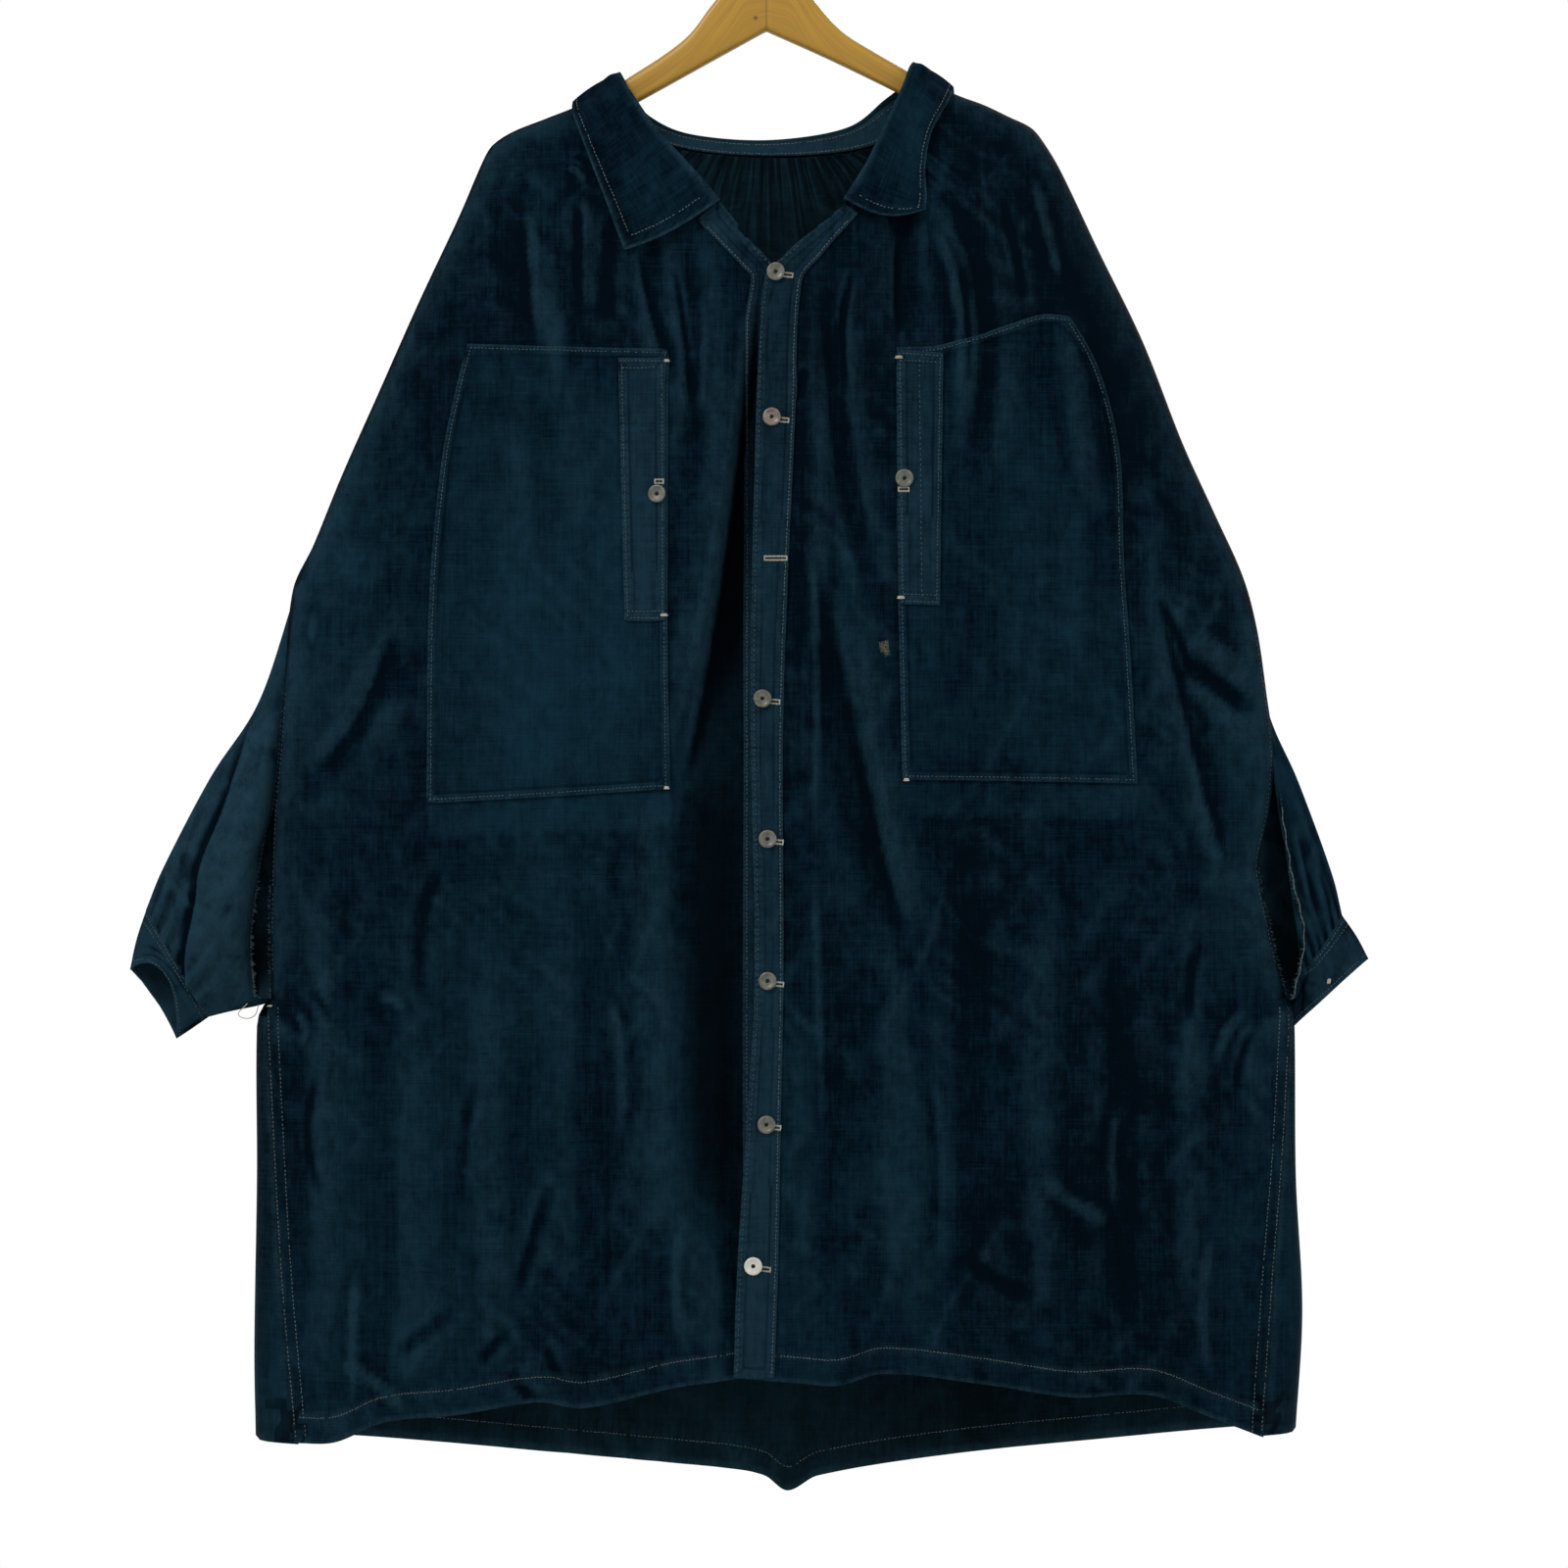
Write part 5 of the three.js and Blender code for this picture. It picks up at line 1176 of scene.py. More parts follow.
laid_grids = {}
for side in SIDES:
    x, z = patch_grid(POCKET[side], POCKET_COLS, POCKET_ROWS)
    pocket, laid_grids[f"pocket_{side}"] = laid(f"linen_pocket_{side}", side, x, z, 1, LINEN)
    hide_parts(f"pocket_{side}")
    x, z = patch_grid(WELT[side], WELT_COLS, WELT_ROWS)
    welt, laid_grids[f"welt_{side}"] = laid(f"linen_welt_{side}", side, x, z, 2.1, LINEN_BAND)
    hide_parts(f"pocket_welt_{side}")
    rows = BAND[side]
    at, places = np.linspace(0, 1, BAND_ROWS), np.arange(len(rows["ix"]))
    inner = Route({"x": rows["ix"], "z": rows["iz"]})
    outer = Route({"x": rows["ox"], "z": rows["oz"]})
    key = np.interp(at, inner.rows["along"] / inner.length, places)
    out_share = np.interp(key, places, outer.rows["along"] / outer.length)
    (ix, iz), (ox, oz) = inner.at(at), outer.at(out_share)
    s = np.linspace(0, 1, BAND_COLS)[None]
    x, z = ix[:, None] * (1 - s) + ox[:, None] * s, iz[:, None] * (1 - s) + oz[:, None] * s
    band, laid_grids[f"band_{side}"] = laid(f"linen_band_{side}", side, x, z, 1, LINEN_BAND)
    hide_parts(f"button_band_{side}")


# Collar
def neck_seam(part, nx):
    side = "right" if nx < 0 else "left"
    centre, shoulder = ends(V_EDGE[side], -1), ends(SHOULDER[side], 0)
    if part == "top":
        return 0.0, shoulder["z"] + 1
    if part == "front":
        z = centre["z"] + (shoulder["z"] - centre["z"]) * (nx - centre["x"]) / (shoulder["x"] - centre["x"])
        return -float(front_depth(side, np.array(nx), np.array(z))), z
    z = float(read(BACK_NECK, "x", "z", nx))
    return float(back_depth(np.array(nx), np.array(z))), z


neck_seams = np.array([neck_seam(part, nx) for part, nx in zip(COLLAR_PARTS, COLLAR["nx"])])
COLLAR_ROWS = {**COLLAR, "ny": neck_seams[:, 0], "nz": neck_seams[:, 1],
               "at": np.linspace(0, 1, len(neck_seams))}


def collar_line(prefix, at):
    return np.stack([read(COLLAR_ROWS, "at", prefix + axis, at) for axis in "xyz"], -1)


def unit(vectors):
    return vectors / np.maximum(np.linalg.norm(vectors, axis=-1, keepdims=True), 1e-9)


LEAF_TURN = 2.4
LEAF_CLEAR = 5.0
LEAF_PUFF = 3.0
LEAF_WALL, STAND_WALL = 1.7, 1.3
LEAF_FOLD, LEAF_EDGE, LEAF_WIDTH = 560, 620, 60
LEAF_CLOTH = (560, 62)
STAND_CLOTH = (480, 15)


def leaf_points(at, v):
    neck, roll, edge = (collar_line(k, at) for k in "nre")
    up, away = unit(roll - neck), unit(edge - roll)
    point = roll + (edge - roll) * v[..., None] + up * (LEAF_TURN * np.exp(-v * 6))[..., None]
    facing = np.clip(roll[..., 1] / 14, -1, 1)
    out = np.stack([np.zeros_like(facing), facing, np.sqrt(1 - facing**2)], -1)
    puff = 1.4 + 2 * np.exp(-v * 4) + LEAF_PUFF * np.sin(np.pi * v) ** 0.8
    point = point + away * 0.6 + out * puff[..., None]
    x, y, z = point[..., 0], point[..., 1], point[..., 2]
    on_panel = ease(v * 5)
    ridge = np.where(x < 5, read(SHOULDER["right"], "x", "z", x), read(SHOULDER["left"], "x", "z", x))
    low = np.minimum(z, ridge)
    front = -np.where(x < 5, front_depth("right", x, low), front_depth("left", x, low)) - LEAF_CLEAR
    behind = back_depth(x, low) + LEAF_CLEAR
    to_front, to_back = ease(-y / 9), ease(y / 9)
    y = y + np.minimum(0, front - y) * on_panel * to_front + np.maximum(0, behind - y) * on_panel * to_back
    end = np.minimum(at, 1 - at)
    droop = np.where(at < 0.5, 5, 9) * np.sin(np.pi * v) * np.exp(-((end / 0.035) ** 2))
    curl = 2.2 * np.exp(-((1 - v) / 0.12) ** 2) * (0.4 + 0.6 * noise(at * LEAF_FOLD, v * 0, 60, 5))
    curl = curl + 1.3 * noise(at * LEAF_FOLD, v * LEAF_WIDTH, 34, 6) * v
    return np.stack([x, y - np.sign(-y) * curl * on_panel * np.maximum(to_front, to_back), z - droop], -1)


def stand_points(at, v):
    neck, roll = collar_line("n", at), collar_line("r", at)
    clear = (1.6 / np.linalg.norm(roll - neck, axis=-1))[..., None]
    return neck + (roll - neck) * (clear + v[..., None] * (1 - clear))


at, v = np.meshgrid(np.linspace(0, 1, 220), np.linspace(0, 1, 26))
leaf_grid = leaf_points(at, v)
end = np.minimum(at, 1 - at)
from_edge = np.minimum((1 - v) * LEAF_WIDTH, end * LEAF_EDGE)
cloth_at, cloth_down = at * LEAF_CLOTH[0], v * LEAF_CLOTH[1]
wear_at_edge = 0.95 * np.exp(-((from_edge / 1.6) ** 2))
fields = {"wear": np.maximum(wear_at_edge, 0.6 * np.exp(-((v * LEAF_WIDTH / 3) ** 2))),
          "pucker": 0.9 * np.exp(-(((from_edge - 4) / 4) ** 2)), "along": at * LEAF_EDGE + v * 40,
          "shade": 0.16 * noise(cloth_at, cloth_down, 26, 9) - 0.1}
leaf = shell("linen_collar_leaf", leaf_grid, LINEN, LEAF_WALL, fields=fields,
             uv=np.stack([cloth_at, cloth_down], -1))
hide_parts("collar_leaf")
at, v = np.meshgrid(np.linspace(0, 1, 220), np.linspace(0, 0.86, 8))
stand_grid = stand_points(at, v)
cloth_at, cloth_up = at * STAND_CLOTH[0], v * STAND_CLOTH[1]
fields = {"wear": 0.5 * np.exp(-((cloth_up / 2) ** 2)) + 0.1, "pucker": 0.8 * np.exp(-((cloth_up / 4) ** 2)),
          "along": cloth_at, "shade": 0.3 * np.ones_like(v)}
stand = shell("linen_collar_stand", stand_grid, LINEN_BAND, STAND_WALL, fields=fields,
              uv=np.stack([cloth_at, cloth_up], -1))
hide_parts("collar_stand")


# Stitches: short spindles of thread that lie along a line on the cloth
RNG = np.random.default_rng(7)
STITCH_PITCH = 2.9
STITCH_LENGTH = 2.2
STITCH_WIDTH = 0.62
STITCH_HEIGHT = 0.4


def cross(a, b):
    return np.cross(np.asarray(a, float), np.asarray(b, float))


class Threads:
    """Spindles of one material, gathered into one piece."""

    def __init__(self, name, material):
        self.name, self.material = name, material
        self.rows = []

    def add(self, at, along, up, length, width=STITCH_WIDTH, height=STITCH_HEIGHT):
        at, along, up = (np.atleast_2d(np.asarray(v, float)) for v in (at, along, up))
        count = len(at)
        size = np.stack([np.broadcast_to(np.asarray(v, float), count) for v in (length, width, height)], -1)
        self.rows.append(np.concatenate([at, unit(np.broadcast_to(along, at.shape)),
                                         unit(np.broadcast_to(up, at.shape)), size], 1))

    def build(self):
        rows = np.concatenate(self.rows)
        at, along, up, size = rows[:, :3], rows[:, 3:6], rows[:, 6:9], rows[:, 9:]
        across = cross(along, up)
        length, width, height = size[:, :1], size[:, 1:2], size[:, 2:]
        corners = ((1, 1), (-1, 1), (-1, -1), (1, -1))
        ring = lambda k: [at + along * length * k + across * width / 2 * a + up * height / 2 * b
                          for a, b in corners]
        points = np.stack([at - along * length / 2, *ring(-0.28), *ring(0.28), at + along * length / 2], 1)
        faces = []
        for k in range(4):
            n = (k + 1) % 4
            faces += [(0, 1 + k, 1 + n), (1 + k, 5 + k, 5 + n, 1 + n), (9, 5 + n, 5 + k)]
        every = [tuple(i + base for i in face) for base in range(0, 10 * len(rows), 10) for face in faces]
        return make_mesh(self.name, points.reshape(-1, 3), every, self.material)


def spaced(points, normals, pitch):
    """Points, directions and normals at an even pitch along a line."""
    steps = np.linalg.norm(np.diff(points, axis=0), axis=1)
    along = np.concatenate([[0], np.cumsum(steps)])
    places = np.arange(pitch / 2, along[-1], pitch)
    places = places + RNG.uniform(-0.12, 0.12, len(places)) * pitch
    pick = lambda values, at: np.stack([np.interp(at, along, values[:, i]) for i in range(3)], -1)
    ways = unit(pick(points, places + 1) - pick(points, places - 1))
    return pick(points, places), ways, unit(pick(normals, places))


def sew(threads, points, normals, lift, pitch=STITCH_PITCH, length=STITCH_LENGTH, slant=0.14):
    """A row of uneven stitches."""
    at, along, up = spaced(points, normals, pitch)
    keep = RNG.uniform(0, 1, len(at)) > 0.04
    at, along, up = at[keep], along[keep], up[keep]
    turned = unit(along + cross(along, up) * RNG.uniform(-slant, slant, (len(at), 1)))
    at = at + up * (lift + 0.1) + cross(along, up) * RNG.uniform(-0.18, 0.18, (len(at), 1))
    threads.add(at, turned, up, length * RNG.uniform(0.8, 1.15, len(at)))


def on_ground(ground, rows, step=3.0, start=0.0, end=1.0):
    route = Route(rows)
    count = max(3, int(route.length * (end - start) / step))
    return ground.lay(*route.at(np.linspace(start, end, count)))


def on_grid(points, turn, rows, cols):
    """A line over a grid, by fractional row and column."""
    normals = grid_normals(points) * turn
    rows, cols = np.broadcast_arrays(np.asarray(rows, float), np.asarray(cols, float))
    rows, cols = np.clip(rows, 0, points.shape[0] - 1.001), np.clip(cols, 0, points.shape[1] - 1.001)
    i, j = rows.astype(int), cols.astype(int)
    a, b = (rows - i)[:, None], (cols - j)[:, None]
    take = lambda grid: (grid[i, j] * (1 - a) * (1 - b) + grid[i + 1, j] * a * (1 - b)
                         + grid[i, j + 1] * (1 - a) * b + grid[i + 1, j + 1] * a * b)
    return take(points), unit(take(normals))


def inset(points, margin, towards):
    """A line moved sideways by a margin, to the side where a point lies."""
    rows = table("x z", points) if not isinstance(points, dict) else points
    dx, dz = np.gradient(rows["x"]), np.gradient(rows["z"])
    size = np.hypot(dx, dz)
    nx, nz = -dz / size, dx / size
    i = len(nx) // 2
    sign = np.sign((towards[0] - rows["x"][i]) * nx[i] + (towards[1] - rows["z"][i]) * nz[i])
    return {"x": rows["x"] + sign * margin * nx, "z": rows["z"] + sign * margin * nz}


def sew_line(threads, ground, rows, start, end, *spacing, **slant):
    """A seam's stitches on the cloth along an outline, from one share of its length to another."""
    sew(threads, *on_ground(ground, rows, start=start, end=end), CLOTH / 2, *spacing, **slant)


seams = Threads("stitches_body", THREAD)
tan = Threads("stitches_tan", TAN_THREAD)
pale = Threads("stitches_pale", PALE_THREAD)
slits = Threads("painted_slit_shadows", SLIT)
POCKET_MIDDLE = {"right": (-170, -550), "left": (190, -550)}
WELT_MIDDLE = {"right": (-96, -487), "left": (115, -479)}
pieces_at = {name: Ground(grid) for name, grid in laid_grids.items()}
for side in SIDES:
    pocket, welt, middle = pieces_at[f"pocket_{side}"], pieces_at[f"welt_{side}"], WELT_MIDDLE[side]
    for edge in ("top", "bottom", "start", "end"):
        sew_line(seams, pocket, inset(POCKET[side][edge], 3, POCKET_MIDDLE[side]), 0.01, 0.99)
    for edge in ("top", "bottom", "start", "end"):
        sew_line(seams, welt, inset(WELT[side][edge], 2.4, middle), 0.02, 0.98)
    for edge in ("top", "bottom"):
        sew_line(seams, welt, inset(WELT[side][edge], 7.5, middle), 0.06, 0.94)
    if side == "left":
        sew_line(seams, welt, inset(WELT[side]["start"], 17, middle), 0.03, 0.97, 4)
    band, rows = pieces_at[f"band_{side}"], BAND[side]
    outer, inner = {"x": rows["ox"], "z": rows["oz"]}, {"x": rows["ix"], "z": rows["iz"]}
    sew_line(tan, band, inset(outer, 2.2, (0, -650)), 0.01, 0.995)
    sew_line(seams, band, inset(inner, 2.6, (outer["x"][4], -650)), 0.05, 0.995, 3.8, 1.8)
    ground = grounds[side]
    sew_line(tan, ground, hem_line(FRONT_HEM[side], HEM_WIDTH - 0.5), 0.01, 0.99, 2.4, 2.0, slant=0.75)
    for margin in (1.8, 9.5):
        sew_line(tan, ground, inset(SIDE_SEAM[side], margin, (0, -1000)), 0.0, 0.985, 3.2)
    sew_line(seams, ground, inset(ARMHOLE[side], 3.5, (0, -700)), 0.02, 0.9, 3.6)

back_ground = Ground(back_grid, towards=1)
back_inside = Ground(back_grid[:, WRAP_COLS:-WRAP_COLS])
row = hem_line(BACK_HEM, HEM_WIDTH - 1)
sew_line(seams, back_ground, row, 0.01, 0.99)
sew_line(tan, back_inside, row, 0.06, 0.94)
for side in SIDES:
    sew_line(seams, back_ground, inset(ARMHOLE[side], 4, (0, -700)), 0.02, 0.98, 3.6)

# Collar stitching
LEAF_TOP, STAND_TOP = LEAF_WALL / 2, STAND_WALL / 2
LEAF_ENDS, LEAF_SEAM = (0.014, 0.986), 0.895
last_row, last_col = leaf_grid.shape[0] - 1, leaf_grid.shape[1] - 1
across = np.linspace(*LEAF_ENDS, 300)
sew(tan, *on_grid(leaf_grid, 1, np.full(300, LEAF_SEAM * last_row), across * last_col), LEAF_TOP)
for end_at in LEAF_ENDS:
    down = np.linspace(0.12, LEAF_SEAM, 40) * last_row
    sew(tan, *on_grid(leaf_grid, 1, down, np.full(40, end_at * last_col)), LEAF_TOP)
for share in (0.12, 0.84):
    row = share * (stand_grid.shape[0] - 1)
    sew(tan, *on_grid(stand_grid, 1, np.full(300, row), across * (stand_grid.shape[1] - 1)), STAND_TOP)

# Cuff and sleeve stitching
for side in SIDES:
    grid, turn = cuff_grids[side], OUTWARD[side]
    girth_cols = np.linspace(0, grid.shape[1] - 1, 200)
    for share in (0.08, 0.2, 0.9):
        sew(seams, *on_grid(grid, turn, np.full(200, share * (grid.shape[0] - 1)), girth_cols), 0.8)
    grid = sleeve_grids[side]
    girth_cols = np.linspace(0, (grid.shape[1] - 1) * 0.5, 240)
    sew(seams, *on_grid(grid, turn, np.full(240, 0.035 * (grid.shape[0] - 1)), girth_cols), CLOTH / 2, 3.6)


# Buttons and buttonholes
BUTTON_PROFILE = table("r h", [
    (0, 0.2), (5.9, 0.2), (6.7, 0.6), (7.0, 1.2), (6.9, 1.9), (6.4, 2.35), (5.7, 2.5), (5.0, 2.35),
    (4.4, 1.9), (3.6, 1.6), (2.2, 1.5), (1.6, 1.35), (1.3, 0.8), (0, 0.7)])
BUTTON_SIDES = 28
BUTTON_SEAT = CLOTH / 2 + 0.4
BUTTON_LOOK = {"front_button_2": PINK_HORN, "front_button_7": PEARL}


def turned_piece(name, profile, at, up, material):
    """A turned piece whose axis points along up."""
    sides = BUTTON_SIDES
    side_way = unit(cross(up, (0, 0, 1)))
    other = cross(up, side_way)
    angles = np.linspace(0, 2 * math.pi, sides, endpoint=False)
    points, faces = [], []
    last = len(profile["r"]) - 1
    for k, (r, h) in enumerate(zip(profile["r"], profile["h"])):
        if k in (0, last):
            points.append(at + up * h)
        else:
            points += [at + up * h + (side_way * math.cos(a) + other * math.sin(a)) * r for a in angles]
    ring = lambda k, i: 1 + (k - 1) * sides + i % sides
    for i in range(sides):
        faces.append((0, ring(1, i + 1), ring(1, i)))
        faces.append((len(points) - 1, ring(last - 1, i), ring(last - 1, i + 1)))
        for k in range(1, last - 1):
            faces.append((ring(k, i), ring(k, i + 1), ring(k + 1, i + 1), ring(k + 1, i)))
    return make_mesh(name, points, faces, material)


def button(name, ground, x, z):
    at, up = ground.seat(x, z)
    up = unit(up + RNG.uniform(-0.05, 0.05, 3))
    seat = at + up * BUTTON_SEAT
    material = BUTTON_LOOK.get(name, HORN)
    obj = turned_piece(name + "_turned", BUTTON_PROFILE, seat, up, material)
    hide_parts(name)
    # Painted shadow in the button's central holes
    for turn in (0.4, 1.5, 2.4):
        along = unit(cross(up, (math.cos(turn), 0, math.sin(turn))))
        slits.add(seat + up * 1.3, along, up, 3.8, 1.0, 0.9)


def buttonhole(ground, x0, x1, z, slope=0.0):
    """A worked slit: short pale stitches along both sides and a bar at each end."""
    xs = np.linspace(x0, x1, int((x1 - x0) / 0.9))
    zs = z + slope * (xs - x0)
    at, up = ground.lay(xs, zs)
    along = unit(at[-1] - at[0])
    upright = unit(cross(along, up[0]))
    lift = CLOTH / 2 + 0.15
    for sign in (-1, 1):
        sway = RNG.uniform(-0.12, 0.12, (len(xs), 1))
        pale.add(at + up * lift + upright * sign * 1.4, upright + along * sway, up, 1.7, 0.75, 0.5)
    for i in (0, -1):
        pale.add(at[i] + up[i] * lift, upright, up[i], 3.0, 0.9, 0.6)
    # Painted shadow in the slit's gap
    slits.add((at[0] + at[-1]) / 2 + up[0] * (lift + 0.1), along, up[0], x1 - x0 - 1, 1.2, 0.6)


def bar_tack(ground, x, z, length=6.5):
    """Pale stitches packed side by side where a seam ends."""
    at, up = ground.seat(x, z)
    along = np.array([1.0, 0.0, 0.0])
    upright = cross(along, up)
    for k in (-1, 0, 1):
        pale.add(at + up * (CLOTH / 2 + 0.2) + upright * 0.7 * k, along, up, length + k * 0.6, 0.8, 0.6)


# A short worked slit on the left cuff
cuff_hole, cuff_up = on_grid(cuff_grids["left"], OUTWARD["left"], [19, 21], [28, 30])
for k in (-1, 0, 1):
    pale.add(cuff_hole[0] + cuff_up[0] + (0.8 * k, 0, 0), (0.2, 0, 1), cuff_up[0], 4.6, 1.1, 0.5)
for name, x, z, body_slot in BUTTONS:
    button(name, pieces_at["band_left"], x, z)
    buttonhole(pieces_at["band_left"], x - 3, x + 13, z - 1.2, -0.1)
for name, side, x, z in POCKET_BUTTONS:
    button(name, pieces_at[f"welt_{side}"], x, z)
buttonhole(pieces_at["band_left"], MISSING_BUTTON[0] - 7.5, MISSING_BUTTON[0] + 9.5, MISSING_BUTTON[1])
buttonhole(pieces_at["welt_right"], -87, -80.5, -481.5)
buttonhole(pieces_at["welt_left"], 98.5, 106.5, -487.5)
for side, x, z in (("right", -79, -389), ("right", -79, -583.5), ("left", 99, -386.5), ("left", 100.5, -570)):
    bar_tack(pieces_at[f"welt_{side}"], x, z)
for side, x, z in (("right", -78.5, -715), ("left", 103.5, -709)):
    bar_tack(pieces_at[f"pocket_{side}"], x, z, 5)


# Tears: khaki threads behind the torn hole, frayed edges, a frayed cord and a loose thread
def tube(name, points, radius, material, sides=6):
    """A round strand along a line, closed at both ends."""
    points = np.asarray(points, float)
    along = unit(np.gradient(points, axis=0))
    first = unit(cross(along, (0.0, 1.0, 0.03)))
    second = cross(along, first)
    angles = np.linspace(0, 2 * math.pi, sides, endpoint=False)
    size = np.broadcast_to(np.asarray(radius, float), len(points))
    rings = [p + (a * math.cos(t) + b * math.sin(t)) * r
             for p, a, b, r in zip(points, first, second, size) for t in angles]
    verts = [points[0], *rings, points[-1]]
    at = lambda k, i: 1 + k * sides + i % sides
    faces = []
    for i in range(sides):
        faces.append((0, at(0, i + 1), at(0, i)))
        faces.append((len(verts) - 1, at(len(points) - 1, i), at(len(points) - 1, i + 1)))
        for k in range(len(points) - 1):
            faces.append((at(k, i), at(k, i + 1), at(k + 1, i + 1), at(k + 1, i)))
    return make_mesh(name, verts, faces, material)


def smooth_line(rows, count):
    """A smooth line through a few points in space."""
    rows = np.asarray(rows, float)
    share = np.linspace(0, 1, len(rows))
    columns = {"at": share, **{axis: rows[:, i] for i, axis in enumerate("xyz")}}
    at = np.linspace(0, 1, count)
    return np.stack([read(columns, "at", axis, at) for axis in "xyz"], -1)


def fray(threads, points, normals, outward, count, length):
    """Short loose ends along a torn edge."""
    at, along, up = spaced(points, normals, 1.0)
    pick = RNG.integers(0, len(at), count)
    turn = RNG.uniform(-0.9, 0.9, (count, 1))
    way = unit(outward + along[pick] * turn + up[pick] * RNG.uniform(-0.5, 0.3, (count, 1)))
    reach = length * RNG.uniform(0.4, 1.2, count)
    threads.add(at[pick] + way * reach[:, None] * 0.35, way, up[pick], reach, 0.45, 0.35)


ragged = Threads("frayed_edges", THREAD)
hole_rim, hole_up = grounds["left"].lay(TORN_HOLE["x"], TORN_HOLE["z"])
hole_middle = hole_rim[:-1].mean(0)
khaki = Threads("frayed_khaki_threads", KHAKI)
KHAKI_THREADS = 46
FRAYED = 4.2
for k in range(KHAKI_THREADS):
    sway = RNG.uniform(-0.35, 0.35)
    along = unit(np.array([sway, 0.1, 1.0] if k % 2 else [1.0, 0.1, sway]))
    offset = np.array([RNG.uniform(-5.5, 5.5), RNG.uniform(0.8, 1.6), RNG.uniform(-7, 7)])
    khaki.add(hole_middle + offset, along, hole_up[0], RNG.uniform(8, 13), 1.3, 0.4)
for i in range(len(hole_rim) - 1):
    line = hole_rim[i:i + 2]
    fray(ragged, line, hole_up[i:i + 2], unit(hole_middle - line.mean(0)), 9, 3.2)
SLIT_EDGES = {"right": (-786, -878), "left": (-776, -878)}
for side in SIDES:
    top, foot = SLIT_EDGES[side]
    z = np.linspace(top, foot, 30)
    outward = np.array([OUTWARD[side], 0.0, 0.0])
    line, up = grounds[side].lay(read(ARMHOLE[side], "z", "x", z) - OUTWARD[side] * 0.6, z)
    fray(ragged, line, up, outward, 90, FRAYED)
    loose = np.stack([read(SLEEVE_EDGE[side], "z", "x", z), -9.0 + 0 * z, z], -1)
    fray(ragged, loose, np.tile([0.0, -1.0, 0.0], (len(z), 1)), -outward, 70, FRAYED)
cord_z = np.linspace(-730, -877, 90)
cord_x = read(SLEEVE_EDGE["left"], "z", "x", cord_z) + 0.5 * np.sin(cord_z * 0.35)
cord_line = np.stack([cord_x - 0.8, -11 + 0.4 * np.sin(cord_z * 0.5), cord_z], -1)
tube("frayed_cord", cord_line, 0.42 + 0.16 * np.sin(cord_z * 1.3), TAN_THREAD)
LOOSE_LOOP = [(-404, -4, -882), (-411, -5, -890), (-405, -6, -893.5), (-398, -6, -891), (-395, -6, -883)]
tube("loose_thread", smooth_line(LOOSE_LOOP, 40), 0.35, PALE_THREAD)
bar_tack(grounds["right"], -383, -883.5, 8)
for threads in (seams, tan, pale, slits, ragged, khaki):
    threads.build()


# Hanger: two mitred arms and a bent wire hook
HANGER_LOW = {
    "right": table("x z", [(-2.5, -128.4), (-42.6, -150.5), (-98.8, -181.6), (-150, -209), (-196, -228)]),
    "left": table("x z", [(-2.1, -128.4), (47.1, -150.5), (103.4, -177.8), (150, -201), (195, -219)]),
}
HANGER_HALF = 6
HANGER_SEAT = 2
HANGER_REACH = 204
ARM_STATIONS = 70
ARM_SECTION = table("half down", [(1.6, 0.3), (3.4, 1.0), (5.0, 2.6), (5.8, 4.6), (HANGER_HALF, 7)])
ARM_FOOT = table("half up", [(HANGER_HALF, 4.5), (5.4, 2.2), (4.2, 0.7), (2.2, 0)])
WIRE_RADIUS = 1.8
HOOK_RADIUS = 17
HOOK_FOOT = (-2, 0, -69.8)


def arm_seat(side):
    """The shoulder line, set in by the cloth that rests on the arm."""
    rows = SHOULDER[side]
    keep = np.abs(rows["x"]) <= HANGER_REACH
    x, z = rows["x"][keep], rows["z"][keep]
    dx, dz = np.gradient(x), np.gradient(z)
    size = np.hypot(dx, dz)
    inward = -OUTWARD[side] * HANGER_SEAT
    return {"x": x + inward * np.abs(dz) / size, "z": z - HANGER_SEAT * np.abs(dx) / size}


def arm_faces(ring, sign):
    """The sides and both ends of an arm, facing outward."""
    index = np.arange(ARM_STATIONS * ring).reshape(ARM_STATIONS, ring)
    faces = []
    for i in range(ARM_STATIONS - 1):
        for k in range(ring):
            n = (k + 1) % ring
            faces.append((index[i, k], index[i, n], index[i + 1, n], index[i + 1, k]))
    faces += [tuple(index[0])[::-1], tuple(index[-1])]
    return faces if sign > 0 else [face[::-1] for face in faces]


def hanger_arm(side):
    route = Route(joined(HANGER_TOP[side], arm_seat(side)))
    share = np.linspace(0, 1, ARM_STATIONS)
    top_x, top_z = route.at(share)
    tail = ease((1 - share) / 0.06)
    low = read(HANGER_LOW[side], "x", "z", top_x)
    low = np.minimum(low * tail + (top_z - 9) * (1 - tail), top_z - 8)
    top_z = top_z - 2.5 * (1 - tail)
    half = [(*row, False) for row in zip(ARM_SECTION["half"], ARM_SECTION["down"])]
    half += [(*row, True) for row in zip(ARM_FOOT["half"], ARM_FOOT["up"])]
    narrow = 0.6 + 0.4 * tail
    columns, uv = [], []
    for y_sign, entries in ((-1, half), (1, half[::-1])):
        for y, offset, at_foot in entries:
            height = low + offset if at_foot else top_z - offset
            columns.append(np.stack([top_x, y_sign * y * narrow, height], -1))
            uv.append(np.stack([share * route.length, height - top_z + y_sign * 40], -1))
    grid = np.stack(columns, 1)
    faces = arm_faces(grid.shape[1], OUTWARD[side])
    arm = make_mesh(f"wooden_arm_{side}", grid.reshape(-1, 3), faces, WOOD,
                    uv=np.stack(uv, 1).reshape(-1, 2))
    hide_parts(f"hanger_arm_{side}")


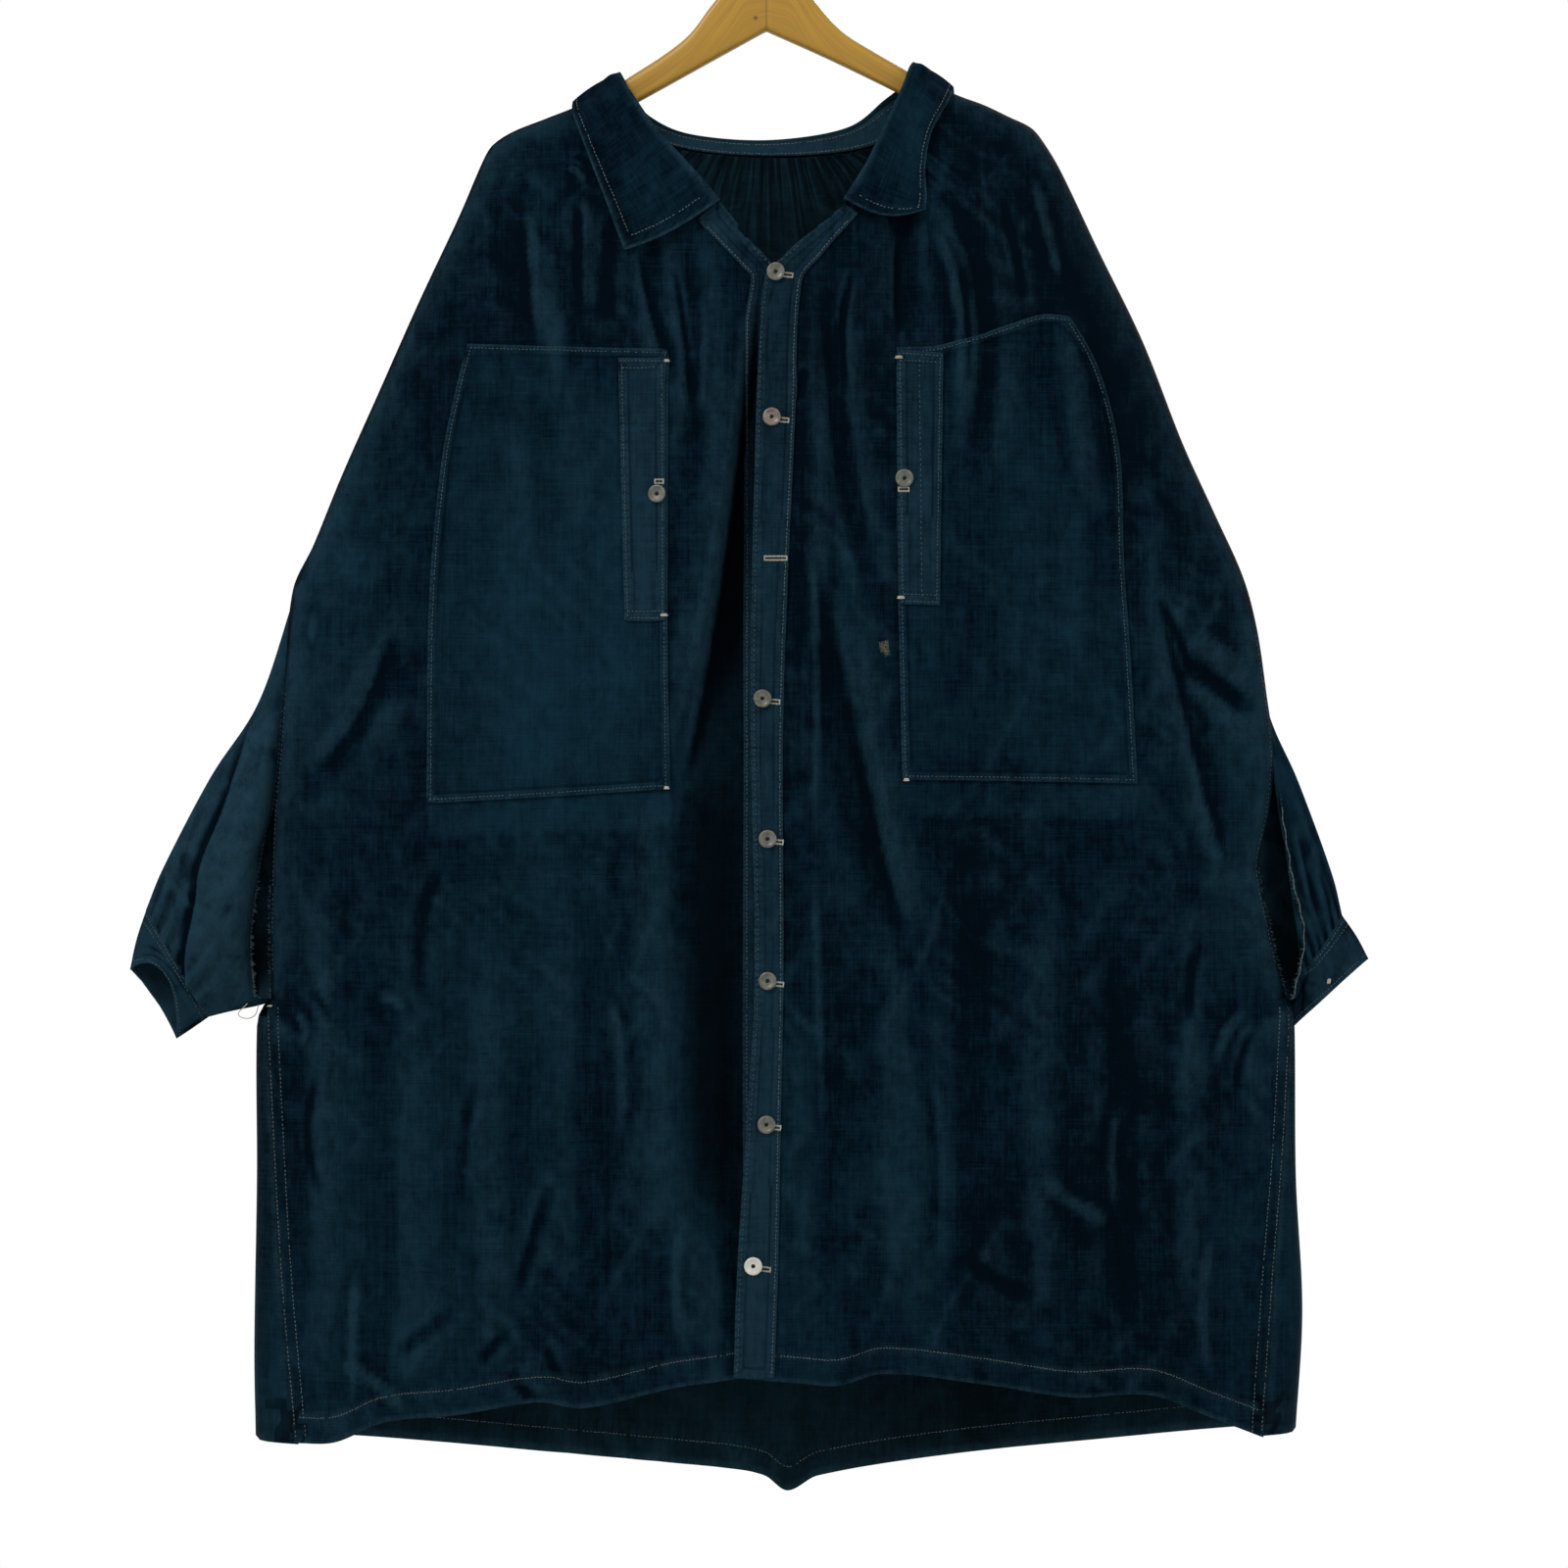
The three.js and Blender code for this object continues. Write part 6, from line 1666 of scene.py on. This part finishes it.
for side in SIDES:
    hanger_arm(side)
hook_middle = WIRE_RADIUS - HOOK_RADIUS
arc = [(math.cos(math.radians(a)) * HOOK_RADIUS, 0, hook_middle + math.sin(math.radians(a)) * HOOK_RADIUS)
       for a in range(-62, 196, 15)]
hook_line = np.array([HOOK_FOOT, (-2, 0, -62), (-2, 0, -54), (-2, 0, -46), (1.5, 0, -38), *arc])
hook_points = smooth_line(hook_line, 110)
to_tip = len(hook_points) - np.arange(len(hook_points))
hook_size = WIRE_RADIUS * np.minimum(1, np.sqrt(np.clip(to_tip / 3, 0, 1)))
hook = tube("wire_hook", hook_points, hook_size, STEEL, 16)
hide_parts("hanger_hook")


# Camera, light and stage
camera_data = bpy.data.cameras.new("camera")
camera_data.sensor_width = SENSOR
camera_data.lens = SENSOR * -CAMERA_AT[1] / VIEW_WIDTH
camera = bpy.data.objects.new("camera", camera_data)
camera.location = Vector(CAMERA_AT) * MM
camera.rotation_euler = (math.radians(90), 0, 0)
bpy.context.scene.collection.objects.link(camera)
bpy.context.scene.camera = camera


def area_light(name, at, aim, size, power, colour=(1, 1, 1)):
    data = bpy.data.lights.new(name, "AREA")
    data.shape = "DISK"
    data.size = size
    data.energy = power
    data.color = colour
    obj = bpy.data.objects.new(name, data)
    obj.location = at
    obj.rotation_euler = (Vector(aim) - Vector(at)).to_track_quat("-Z", "Y").to_euler()
    bpy.context.scene.collection.objects.link(obj)


area_light("key", (-1.5, -2.0, 1.5), (0, 0, -0.7), 0.8, 60)
area_light("fill", (2.0, -1.8, -0.2), (0, 0, -0.7), 1.4, 12)
area_light("behind", (1.2, 2.3, 0.9), (0, 0, -0.7), 1.2, 45)

world = bpy.data.worlds.new("studio")
bpy.context.scene.world = world
world.use_nodes = True
world.node_tree.nodes["Background"].inputs["Color"].default_value = (1, 1, 1, 1)
world.node_tree.nodes["Background"].inputs["Strength"].default_value = 1.0

bpy.context.scene.view_settings.view_transform = "Standard"

FLOOR_Z = -1.5
FLOOR_RADIUS = 0.68
bpy.ops.mesh.primitive_circle_add(vertices=96, radius=FLOOR_RADIUS, fill_type="NGON",
                                  location=(0, 0, FLOOR_Z))
floor = bpy.context.object
floor.name = "floor"
floor.data.materials.append(plain("pale_floor", (0.72, 0.72, 0.71), 0.9, (0.68, 0.68, 0.67), scale=(6, 6, 6)))
